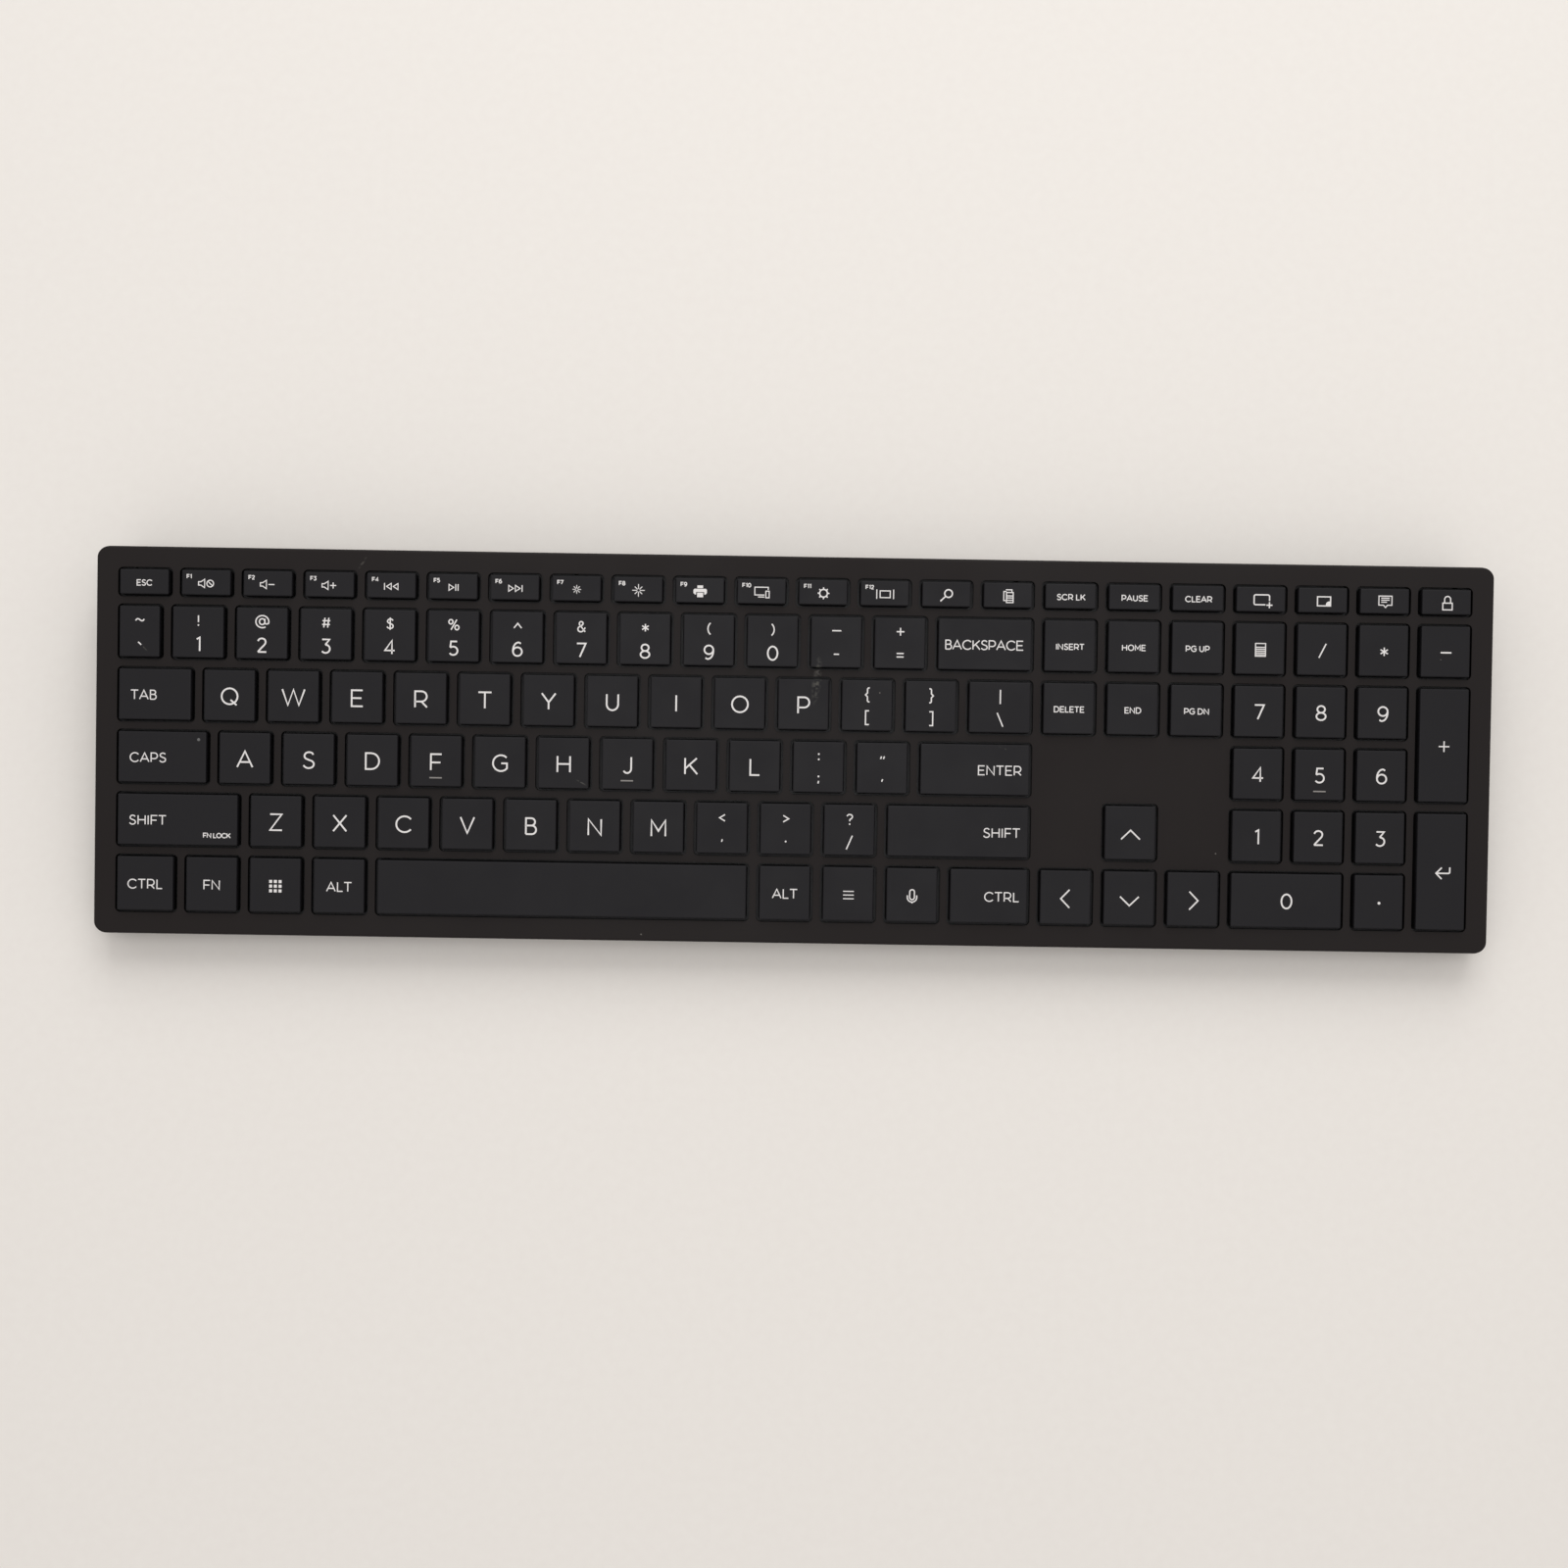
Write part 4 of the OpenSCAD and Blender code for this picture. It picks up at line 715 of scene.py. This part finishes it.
# Height and stroke in mm of the legends that have no setting, and the strokes of the words and digits that have one
SIGN, PAD_DIGIT, SMALL, TAG, FN_LOCK = (3.4, 0.38), (4.7, 0.48), (1.9, 0.3), (1.35, 0.27), (1.6, 0.29)
WORD_STROKE, DIGIT_STROKE = 0.34, 0.48
# How far a legend's middle is to the right of the key's, and in front of it, and how deep ink is sunk, in mm
PRINT_RIGHT, PRINT_FRONT, PRINT_SUNK = 0.1, 0.3, 0.005
# Words beside the left edge of a wide key stand this far from it, in mm; the others stand beside its right edge
LEFT_INSETS = {"key_tab": 2.95, "key_caps": 2.95, "key_left_shift": 2.95, "left_modifier_keys": 2.65}
RIGHT_INSET, FN_LOCK_INSET, TAG_INSET = 2.05, 1.6, 1.1
# How far to the rear of a legend's middle stand the lower and the upper sign, and the other prints, in mm
SIGN_REAR = {"number_row_keys": (-3.3, 3.7), "punctuation_keys": (-3.4, 3.4)}
WORD_REAR, FN_LOCK_REAR, TAG_REAR = 0.1, -4.25, 2.05
# Spaces of the words that are set close, and of the F keys' tags, which are set wide
CLOSE, WIDE = 0.75, 1.1


def icon_strokes(name):
    """Strokes of an icon, with its rays spelt out, and 1 or -1 for its side."""
    out = []
    for text in ICONS[MIRRORED.get(name, name)].split(";"):
        if text[0] == "*":
            count, near, far, *turn = map(float, text[1:].split(","))
            for i in range(int(count)):
                a = math.radians(i * 360 / count + (turn[0] if turn else 0))
                out.append(f"{near * math.cos(a)},{near * math.sin(a)} {far * math.cos(a)},{far * math.sin(a)}")
        else:
            out.append(text)
    return out, -1 if name in MIRRORED else 1


# Room beside a letter, in tenths of its height, at its straight, round and open sides
STRAIGHT, ROUND, OPEN = 1.7, 1.3, 0.8
LEFT_SIDES = {STRAIGHT: "BDEFHIKLMNPRU14", ROUND: "CGJOQS0235689"}
RIGHT_SIDES = {STRAIGHT: "HIJMNU1", ROUND: "BCDGOPQRS0235689"}
# Width of a space between words, likewise
SPACE = 2.5


def room(letter, sides):
    """Room beside a letter on one side."""
    return next((space for space, letters in sides.items() if letter in letters), OPEN)


def word_strokes(text, gap):
    """Strokes of a word with their shifts, and its width, in tenths of its height; gap widens its spaces."""
    strokes, x = [], 0
    for before, letter in zip(" " + text, text):
        parts = [s for s in GLYPHS[MIRRORED.get(letter, letter)].split(";") if s]
        side = -1 if letter in MIRRORED else 1
        xs = [side * p[0] for s in parts for p in read_stroke(s)[1]] or [0, SPACE]
        x += gap * (room(before, RIGHT_SIDES) + room(letter, LEFT_SIDES)) if strokes else 0
        strokes += [(s, side, x - min(xs)) for s in parts]
        x += max(xs) - min(xs)
    return strokes, x


def write(sheet, text, x, y, height, width, level, film, side=0, gap=1.0):
    """Prints a word in the middle of (x, y), or from there to the right (side 1) or to the left (side -1)."""
    strokes, length = word_strokes(text, gap)
    size = (height - width) / 10
    ys = [p[1] for s, _, _ in strokes for p in read_stroke(s)[1]]
    middle = 5 if text.isalnum() or " " in text else (max(ys) + min(ys)) / 2
    left = x - length * size / 2 * (1 - side) + side * width / 2
    for s, mirror, shift in strokes:
        sheet.stroke(s, width, lambda p: (left + (mirror * p[0] + shift) * size, y + (p[1] - middle) * size),
                     level, film)


def print_key(sheet, name, i, box, level):
    """Prints the legends of key i of a node on its top face."""
    look = bpy.context.scene.keyboard_print
    x, y = (box[0] + box[1]) / 2 + PRINT_RIGHT, (box[2] + box[3]) / 2 - PRINT_FRONT
    edge, lower = (box[1] - box[0]) / 2, level - PRINT_SUNK
    legend = ROWS[name][i] if name in ROWS else name.split("_")[-1].upper()
    word = look.word_height, WORD_STROKE

    def text(letters, right, rear, size, side=0, gap=1.0):
        write(sheet, letters, x + right, y + rear, *size, lower, look.film, side, gap)

    if name.startswith("key_") and len(legend) == 1:
        text(legend, 0, 0, (look.letter_height, look.letter_stroke))
    elif name in SIGN_REAR:
        low, high = SIGN_REAR[name]
        text(legend[0], 0, high, SIGN)
        text(legend[1], 0, low, (look.digit_height, DIGIT_STROKE) if legend[1].isdigit() else SIGN)
    elif name == "pad_number_keys" and legend != " dot":
        text(legend, 0, WORD_REAR, PAD_DIGIT)
    elif name in ("navigation_keys", "system_keys") or legend == "ESC":
        text(legend, 0, 0, SMALL)
    elif name.startswith("key_") or legend == "CTRL":
        side = 1 if name in LEFT_INSETS else -1
        text(legend, side * (LEFT_INSETS.get(name, RIGHT_INSET) - edge), WORD_REAR, word, side,
             CLOSE if legend == "BACKSPACE" else 1.0)
        if name == "key_left_shift":
            text("FN LOCK", edge - FN_LOCK_INSET, FN_LOCK_REAR, FN_LOCK, -1, CLOSE)
    elif legend in ("FN", "ALT"):
        text(legend, 0, WORD_REAR, word)
    else:
        tag, icon = legend.split(" ")
        if tag:
            text(tag, box[0] + TAG_INSET - x, TAG_REAR, TAG, 1, WIDE)
        strokes, mirror = icon_strokes(icon)
        for s in strokes:
            sheet.stroke(s, ICON_STROKES.get(icon, ICON_STROKE), lambda p: (x + mirror * p[0], y + p[1]),
                         lower, look.film)


def dome_shape(look, height):
    """A rubber dome, turned round z, with its foot's middle at the origin, in metres."""
    foot, top, steps = look.foot / 2, look.top / 2, 20
    section = [(foot, 0), (foot, 0.15), (foot - 0.4, 0.4), (top + 0.35, height - 0.75),
               (top + 0.1, height - 0.5), (top, height - 0.1), (top - 0.15, height)]
    vertices = [(0, 0, 0), (0, 0, height * MM)]
    for r, z in section:
        vertices += [(x, y, z * MM) for x, y in circle(0, 0, r * MM, steps)]
    last = 2 + (len(section) - 1) * steps
    faces = []
    for i in range(steps):
        j = (i + 1) % steps
        faces += [[0, 2 + j, 2 + i], [1, last + i, last + j]]
        faces += [[a + i, a + j, a + steps + j, a + steps + i] for a in range(2, last, steps)]
    mesh = bpy.data.meshes.new("dome_shape")
    mesh.from_pydata(vertices, [], faces)
    mesh.shade_smooth()
    return put("dome_shape", mesh)


def new_tree(name, inputs, output):
    """A Geometry Nodes tree, the identifiers of its inputs, and its group input node."""
    tree = bpy.data.node_groups.new(name, "GeometryNodeTree")
    ids = {label: tree.interface.new_socket(name=label, in_out="INPUT", socket_type=kind).identifier
           for label, kind in inputs}
    tree.interface.new_socket(name=output, in_out="OUTPUT", socket_type="NodeSocketGeometry")
    return tree, ids, add(tree, "NodeGroupInput")


def close_tree(tree, geometry, material):
    """Ends a tree with Realize Instances and Set Material."""
    real = add(tree, "GeometryNodeRealizeInstances", [("Geometry", geometry)])
    done = add(tree, "GeometryNodeSetMaterial", [("Geometry", real.outputs[0]), ("Material", material)])
    add(tree, "NodeGroupOutput", [(0, done.outputs[0])])


def dome_tree():
    """Geometry Nodes: one dome on each point, as wide as the point's dome_width says."""
    tree, ids, given = new_tree("Rubber domes", [
        ("Key centres", "NodeSocketGeometry"), ("Dome", "NodeSocketObject"), ("Slope", "NodeSocketFloat"),
        ("Rubber", "NodeSocketMaterial")], "Domes")
    dome = add(tree, "GeometryNodeObjectInfo", [("Object", given.outputs["Dome"])])
    width = add(tree, "GeometryNodeInputNamedAttribute", [("Name", "dome_width")], data_type="FLOAT")
    size = add(tree, "ShaderNodeCombineXYZ", [("X", width.outputs[0]), ("Y", width.outputs[0]), ("Z", 1.0)])
    turn = add(tree, "ShaderNodeCombineXYZ", [("X", given.outputs["Slope"])])
    placed = add(tree, "GeometryNodeInstanceOnPoints", [
        ("Points", given.outputs["Key centres"]), ("Instance", dome.outputs["Geometry"]),
        ("Rotation", turn.outputs[0]), ("Scale", size.outputs[0])])
    close_tree(tree, placed.outputs[0], given.outputs["Rubber"])
    return tree, ids


def lead_tree():
    """Geometry Nodes: a round insulated lead along a line of edges, smooth through its points."""
    tree, ids, given = new_tree("Battery lead", [
        ("Route", "NodeSocketGeometry"), ("Radius", "NodeSocketFloat"), ("Insulation", "NodeSocketMaterial")], "Lead")
    line = add(tree, "GeometryNodeMeshToCurve", [(0, given.outputs["Route"])])
    bent = add(tree, "GeometryNodeCurveSplineType", [("Curve", line.outputs[0])], spline_type="CATMULL_ROM")
    ring = add(tree, "GeometryNodeCurvePrimitiveCircle", [("Resolution", 12), ("Radius", given.outputs["Radius"])])
    tube = add(tree, "GeometryNodeCurveToMesh", [
        ("Curve", bent.outputs[0]), ("Profile Curve", ring.outputs[0]), ("Fill Caps", True)])
    soft = add(tree, "GeometryNodeSetShadeSmooth", [("Geometry", tube.outputs[0])])
    close_tree(tree, soft.outputs[0], given.outputs["Insulation"])
    return tree, ids


def grown(name, points, tree, inputs, widths=(), edges=()):
    """The tree's result on these points as a plain mesh object."""
    mesh = bpy.data.meshes.new(name + "_points")
    mesh.from_pydata(points, edges, [])
    if widths:
        mesh.attributes.new("dome_width", "FLOAT", "POINT").data.foreach_set("value", widths)
    holder = put(name + "_points", mesh)
    modifier = holder.modifiers.new(tree.name, "NODES")
    modifier.node_group = tree
    for identifier, value in inputs.items():
        modifier[identifier] = value
    depsgraph = bpy.context.evaluated_depsgraph_get()
    result = bpy.data.meshes.new_from_object(holder.evaluated_get(depsgraph))
    bpy.data.objects.remove(holder)
    return put(name, result)


# The bottom case's lower edge, in mm: its radius, and where its front and rear walls would meet its floor
EDGE_RADIUS = 3.5
TOE_Y, HEEL_Y = -57.3640, 58.9230
# In mm: vertices closer than MERGED are one, a vertex further than OUTSIDE from the round of that edge stands out of
# it, and an edge shorter than SLIVER is dissolved
MERGED, OUTSIDE, SLIVER = 0.001, 0.004, 0.003
# In mm: how much deeper a key's window is than its top, and how far a dome's foot reaches past the hole under it
WINDOW_MORE, FOOT_LAND = 1.9, 0.8
# Radii of the rubber sheet's holes over the screws and the caps lock light, and of its corners, in mm
SCREW_HOLE, LIGHT_HOLE, SHEET_CORNER = 1.2, 1.0, 2.1


# ---- Operators ----

class KEYBOARD_OT_finishes(bpy.types.Operator):
    """Gives each CAD piece the finish of the real one."""
    bl_idname = "keyboard.finishes"
    bl_label = "Finishes"

    def execute(self, context):
        case, keycap = case_abs(False), keycap_abs()
        # zinc-plated sheet and screws: bright grey, slightly cloudy
        steel = rolled_steel("zinc_plated_steel", "#b4b6b8", 0.28, 0.45, 8)
        finishes = {
            "top_case": case_abs(True), "bottom_case": case, "battery_door": case,
            # the bare ABS of the frame: dark grey, even, with the soft shine of a smooth mould
            "key_frame": plain_moulding("abs_natural_dark", "#333335", "#3c3c3e", 0.45, 0.4),
            # acetal knob: black and a little waxy
            "power_slider": plain_moulding("pom_switch_knob", "#111112", "#1a1a1b", 0.35, 0.5),
            # moulded rubber: dead matt, a shade paler than the case
            "rubber_feet": plain_moulding("rubber_foot", "#171717", "#202020", 0.85, 0.5),
            "screws": steel, "support_plate": steel,
            # nickel plating of the contacts: the brightest and warmest of the metals
            "battery_contacts": rolled_steel("nickel_plated_steel", "#c2bfb8", 0.18, 0.3, 2),
            # hard-drawn wire: darker, with long lines along it
            "space_wire": rolled_steel("drawn_spring_steel", "#8f9092", 0.25, 0.4, 12),
            "membrane": printed_film(), "circuit_board": circuit_laminate(), "batteries": battery_sleeve(),
            "caps_lens": light_pipe(), "dome_sheet": None}
        for name, node in NODES.items():
            material = finishes.get(name, keycap)
            if material:
                node.data.materials.clear()
                node.data.materials.append(material)
        return {"FINISHED"}


class KEYBOARD_OT_bottom_shell(bpy.types.Operator):
    """Makes the bottom case with the ends of its ribs dressed flush with the rounded lower edge."""
    bl_idname = "keyboard.bottom_shell"
    bl_label = "Bottom shell"

    def execute(self, context):
        source = NODES["bottom_case"].data
        low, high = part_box("bottom_case")
        radius, level = EDGE_RADIUS * MM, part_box("battery_door")[0].z + EDGE_RADIUS * MM
        # the middles of the edge's circles: left, right, front and rear, where the walls lean by the deck's slope
        lean = [radius * (1 - way * math.sin(SLOPE)) / math.cos(SLOPE) for way in (1, -1)]
        edges = ((0, -1, low.x + radius), (0, 1, high.x - radius),
                 (1, -1, TOE_Y * MM + lean[0]), (1, 1, HEEL_Y * MM - lean[1]))
        work = bmesh.new()
        work.from_mesh(source)
        bmesh.ops.remove_doubles(work, verts=work.verts, dist=MERGED * MM)
        for vertex in work.verts:
            p = vertex.co
            for axis, way, middle in edges:
                out, drop = way * (p[axis] - middle), level - p.z
                reach = math.hypot(out, drop)
                if out > 0 and drop > 0 and reach > radius + OUTSIDE * MM:
                    p[axis] = middle + way * out * radius / reach
                    p.z = level - drop * radius / reach
        bmesh.ops.dissolve_degenerate(work, edges=work.edges, dist=SLIVER * MM)
        mesh = bpy.data.meshes.new("bottom_shell")
        work.to_mesh(mesh)
        work.free()
        mesh.shade_flat()
        mesh.materials.append(source.materials[0])
        piece = put("bottom_shell", mesh)
        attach(piece, "housing")
        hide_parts("bottom_case")
        return {"FINISHED"}


class KEYBOARD_OT_legends(bpy.types.Operator):
    """Prints the legends on the keycaps, one piece of ink for each node of keys."""
    bl_idname = "keyboard.legends"
    bl_label = "Printed legends"

    def execute(self, context):
        ink = pad_ink()
        for name in KEY_NODES:
            if name == "key_space":
                continue
            faces = flat_faces(name, CAP_LEVEL)
            if name in ROWS and len(faces) != len(ROWS[name]):
                raise RuntimeError(f"{name} has {len(faces)} keys and {len(ROWS[name])} legends")
            sheet = Print()
            for i, box in enumerate(faces):
                print_key(sheet, name, i, box, CAP_LEVEL)
            piece = sheet.make("legend_" + name, ink, TO_DECK)
            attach(piece, name)
        return {"FINISHED"}


class KEYBOARD_OT_domes(bpy.types.Operator):
    """Makes the rubber sheet and, for each node of keys, the domes under it."""
    bl_idname = "keyboard.domes"
    bl_label = "Rubber domes"

    def execute(self, context):
        look = context.scene.keyboard_domes
        # silicone rubber: milky pale grey and soft-looking
        rubber = plain_moulding("silicone_rubber", "#c4c4c0", "#cdcdc8", 0.55, 0.8)
        points = deck_points("dome_sheet")
        low, high = points[:, 2].min(), points[:, 2].max()
        top = low + look.sheet
        shape = dome_shape(look, high - top)
        tree, ids = dome_tree()
        holes = []
        for name in KEY_NODES:
            centres = [((b[0] + b[1]) / 2, (b[2] + b[3]) / 2, b[3] - b[2])
                       for b in flat_faces(name, CAP_LEVEL)]
            # a dome is no wider than its key's window
            widths = [min(look.foot, depth + WINDOW_MORE) / look.foot for _, _, depth in centres]
            holes += [(x, y, w * look.foot / 2 - FOOT_LAND) for (x, y, _), w in zip(centres, widths)]
            piece = grown("domes_" + name, [TO_DECK @ Vector((x, y, top)) for x, y, _ in centres], tree,
                          {ids["Dome"]: shape, ids["Slope"]: SLOPE, ids["Rubber"]: rubber}, widths)
            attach(piece, "housing")
            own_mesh(piece)
        bpy.data.objects.remove(shape)
        shank_end = deck_points("screws")[:, 2].max()
        holes += [((b[0] + b[1]) / 2, (b[2] + b[3]) / 2, SCREW_HOLE) for b in flat_faces("screws", shank_end)]
        holes.append((*deck_points("caps_lens").mean(axis=0)[:2], LIGHT_HOLE))
        (x0, y0), (x1, y1) = points.min(axis=0)[:2] + SHEET_CORNER, points.max(axis=0)[:2] - SHEET_CORNER
        ring = [p for x, y, start in ((x1, y1, 0), (x0, y1, 90), (x0, y0, 180), (x1, y0, 270))
                for p in arc(x, y, SHEET_CORNER, SHEET_CORNER, start, start + 90, 5)]
        sheet = Print()
        sheet.filled([ring] + [circle(x, y, radius, 12) for x, y, radius in holes], low, top)
        piece = sheet.make("rubber_sheet", rubber, TO_DECK)
        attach(piece, "housing")
        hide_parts("dome_sheet")
        return {"FINISHED"}


class KEYBOARD_OT_wiring(bpy.types.Operator):
    """Makes the caps lock light on the films, and the two leads from the battery contacts to the circuit board."""
    bl_idname = "keyboard.wiring"
    bl_label = "Light and leads"

    def execute(self, context):
        lens = deck_points("caps_lens")
        x, y = (lens[:, 0].min() + lens[:, 0].max()) / 2, (lens[:, 1].min() + lens[:, 1].max()) / 2
        film = deck_points("membrane")[:, 2].max()
        light = Print()
        # the package and the clear body on it, as blocks with cut corners
        for half_x, half_y, cut, low, high in ((0.8, 0.4, 0.1, 0.0, 0.3), (0.55, 0.36, 0.12, 0.3, 0.45)):
            ring = [(x + a * (half_x - c * cut), y + b * (half_y - (1 - c) * cut)) for a, b, order in
                    ((1, -1, (1, 0)), (1, 1, (0, 1)), (-1, 1, (1, 0)), (-1, -1, (0, 1))) for c in order]
            light.filled([ring], film + low, film + high)
        # epoxy of the light's package: cream and smooth
        epoxy = plain_moulding("led_epoxy_package", "#d9d4bd", "#e3dfcb", 0.3, 0.3)
        piece = light.make("caps_light", epoxy, TO_DECK)
        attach(piece, "housing")

        # routes in mm: from the solder tag in each end of the battery bay through its slot, along the floor between
        # the ribs, and up to the board's pads
        contact_low, contact_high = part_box("battery_contacts")
        board_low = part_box("circuit_board")[0]
        end, front, floor = contact_high.x / MM - 0.85, contact_low.y / MM, contact_low.z / MM
        pad, pads_y = board_low.x / MM + 8, board_low.y / MM + 3.8
        tree, ids = lead_tree()
        routes = {
            "lead_red": (
                [(end, front + 0.9, 11.3), (end, front - 1.1, 11.3), (end + 0.9, front - 3.2, 9),
                 (end + 5, front - 4.4, 4.8)]
                + [(x, front - 4.4 + 0.35 * math.sin(x / 5), floor + (1.4 if x < 62 else 0.7))
                   for x in range(57, 86, 4)]
                + [(pad - 0.8, front - 4.6, 5.8), (pad, pads_y - 3.2, 7.2), (pad, pads_y - 0.6, 6.9),
                   (pad, pads_y, 5.9)], ("#a01a14", "#b02018")),
            "lead_black": (
                [(-end, front + 0.9, 11.3), (-end, front - 1.1, 11.3), (0.6 - end, front - 3.4, 9.5),
                 (4.5 - end, front - 5.2, 5)]
                + [(x, front - 5.7 + 0.3 * math.sin(x / 7), floor + (1.45 if x < 63 else 0.7))
                   for x in range(-38, 88, 5)]
                + [(pad + 1.7, front - 5.5, 4.6), (pad + 3.2, front - 4.2, 7), (pad + 3.5, pads_y - 1.2, 6.9),
                   (pad + 3.5, pads_y, 5.9)], ("#101010", "#181818"))}
        for name, (route, colours) in routes.items():
            # flexible stranded wire in PVC insulation: satin, with faint ripples
            insulation = plain_moulding(name.replace("lead_", "pvc_insulation_"), *colours, 0.4, 0.7)
            piece = grown(name, [Vector(p) * MM for p in route], tree,
                          {ids["Radius"]: 0.5 * MM, ids["Insulation"]: insulation},
                          edges=[(i, i + 1) for i in range(len(route) - 1)])
            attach(piece, "housing")
        return {"FINISHED"}


class KEYBOARD_OT_switch_marks(bpy.types.Operator):
    """Prints OFF and ON beside the power switch on the underside."""
    bl_idname = "keyboard.switch_marks"
    bl_label = "Switch marks"

    def execute(self, context):
        low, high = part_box("power_slider")
        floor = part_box("battery_door")[0].z
        travel = next(j for j in frame["joints"] if j["name"] == "power_switch_slide")["range_m"][1]
        # the underside is read from below, with x to the left
        centre = Vector(((low.x + high.x + travel) / 2, (low.y + high.y) / 2, floor))
        plane = Matrix.Translation(centre) @ Matrix(
            ((-1, 0, 0, 0), (0, 1, 0, 0), (0, 0, -1, 0), (0, 0, 0, 1))) @ Matrix.Scale(MM, 4)
        sheet = Print()
        for word, x in (("ON", 9.5), ("OFF", -10)):
            write(sheet, word, x, 0, 1.8, 0.25, -PRINT_SUNK, 0.02)
        piece = sheet.make("switch_marks", bpy.data.materials["pad_print_ink"], plane)
        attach(piece, "housing")
        return {"FINISHED"}


class KEYBOARD_OT_stage(bpy.types.Operator):
    """Sets up the pale floor, the even studio light with a softbox behind, and the camera over the deck."""
    bl_idname = "keyboard.stage"
    bl_label = "Stage"

    def execute(self, context):
        look, scene = context.scene.keyboard_stage, context.scene
        # painted board: matt and nearly white, with a faint warm drift of its tone
        material, tree, shader, where = surface("painted_board", Roughness=0.7, Specular_IOR_Level=0.2)
        feed(tree, shader, Base_Color=clouded(tree, where, 3, 3.0, "#eae6e0", "#eeebe5")[1])
        mesh = bpy.data.meshes.new("studio_floor")
        # 12 m each way, just under the feet, so that no faces coincide
        half, under = 12, -0.02 * MM
        mesh.from_pydata([(-half, -half, under), (half, -half, under), (half, half, under), (-half, half, under)],
                         [], [[0, 1, 2, 3]])
        mesh.materials.append(material)
        floor = put("studio_floor", mesh)

        world = bpy.data.worlds.new("studio")
        world.use_nodes = True
        world.node_tree.nodes.clear()
        sky = add(world.node_tree, "ShaderNodeBackground", [("Color", linear("#fffbfa")), ("Strength", look.surround)])
        add(world.node_tree, "ShaderNodeOutputWorld", [("Surface", sky.outputs[0])])
        scene.world = world

        for name, size, power, place in (("softbox", 1.2, look.softbox, Vector((0.12, 1.25, 1.0))),
                                         ("top_light", 0.5, look.top_light, Vector((0.03, 0.0, 1.1)))):
            lamp = bpy.data.lights.new(name, "AREA")
            lamp.shape, lamp.size, lamp.energy = "SQUARE", size, power
            stand = put(name, lamp)
            stand.location = place
            stand.rotation_euler = (-place).to_track_quat("-Z", "Y").to_euler()

        camera = put("camera", bpy.data.cameras.new("camera"))
        camera.data.sensor_width, camera.data.lens, camera.data.clip_start = 36, look.lens, 0.01
        turn = Euler(look.turn, "XYZ").to_matrix().to_4x4()
        view = Matrix.Translation((look.aim[0] * MM, look.aim[1] * MM, -look.distance)) @ turn
        camera.matrix_world = TO_DECK @ Matrix.Scale(1 / MM, 4) @ view.inverted()
        scene.camera = camera
        scene.view_settings.view_transform = "Standard"
        return {"FINISHED"}


class KEYBOARD_PT_panel(bpy.types.Panel):
    """Lists the keyboard's operators and their settings."""
    bl_idname = "KEYBOARD_PT_panel"
    bl_label = "Wireless keyboard"
    bl_space_type = "VIEW_3D"
    bl_region_type = "UI"
    bl_category = "Keyboard"

    def draw(self, context):
        for operator in OPERATORS:
            self.layout.operator(operator.bl_idname)
        for name in SETTINGS:
            settings = getattr(context.scene, name)
            for key in settings.__annotations__:
                self.layout.prop(settings, key)


SETTINGS = {"keyboard_print": KeyboardPrintSettings, "keyboard_plastic": KeyboardPlasticSettings,
            "keyboard_domes": KeyboardDomeSettings, "keyboard_stage": KeyboardStageSettings}
OPERATORS = (KEYBOARD_OT_finishes, KEYBOARD_OT_bottom_shell, KEYBOARD_OT_legends, KEYBOARD_OT_domes,
             KEYBOARD_OT_wiring, KEYBOARD_OT_switch_marks, KEYBOARD_OT_stage)


def register():
    for cls in (*SETTINGS.values(), *OPERATORS, KEYBOARD_PT_panel):
        bpy.utils.register_class(cls)
    for name, cls in SETTINGS.items():
        setattr(bpy.types.Scene, name, PointerProperty(type=cls))


def unregister():
    for name in SETTINGS:
        delattr(bpy.types.Scene, name)
    for cls in reversed((*SETTINGS.values(), *OPERATORS, KEYBOARD_PT_panel)):
        bpy.utils.unregister_class(cls)


def main():
    register()
    bpy.ops.keyboard.finishes()
    bpy.ops.keyboard.bottom_shell()
    bpy.ops.keyboard.legends()
    bpy.ops.keyboard.domes()
    bpy.ops.keyboard.wiring()
    bpy.ops.keyboard.switch_marks()
    bpy.ops.keyboard.stage()


if __name__ == "__main__":
    main()
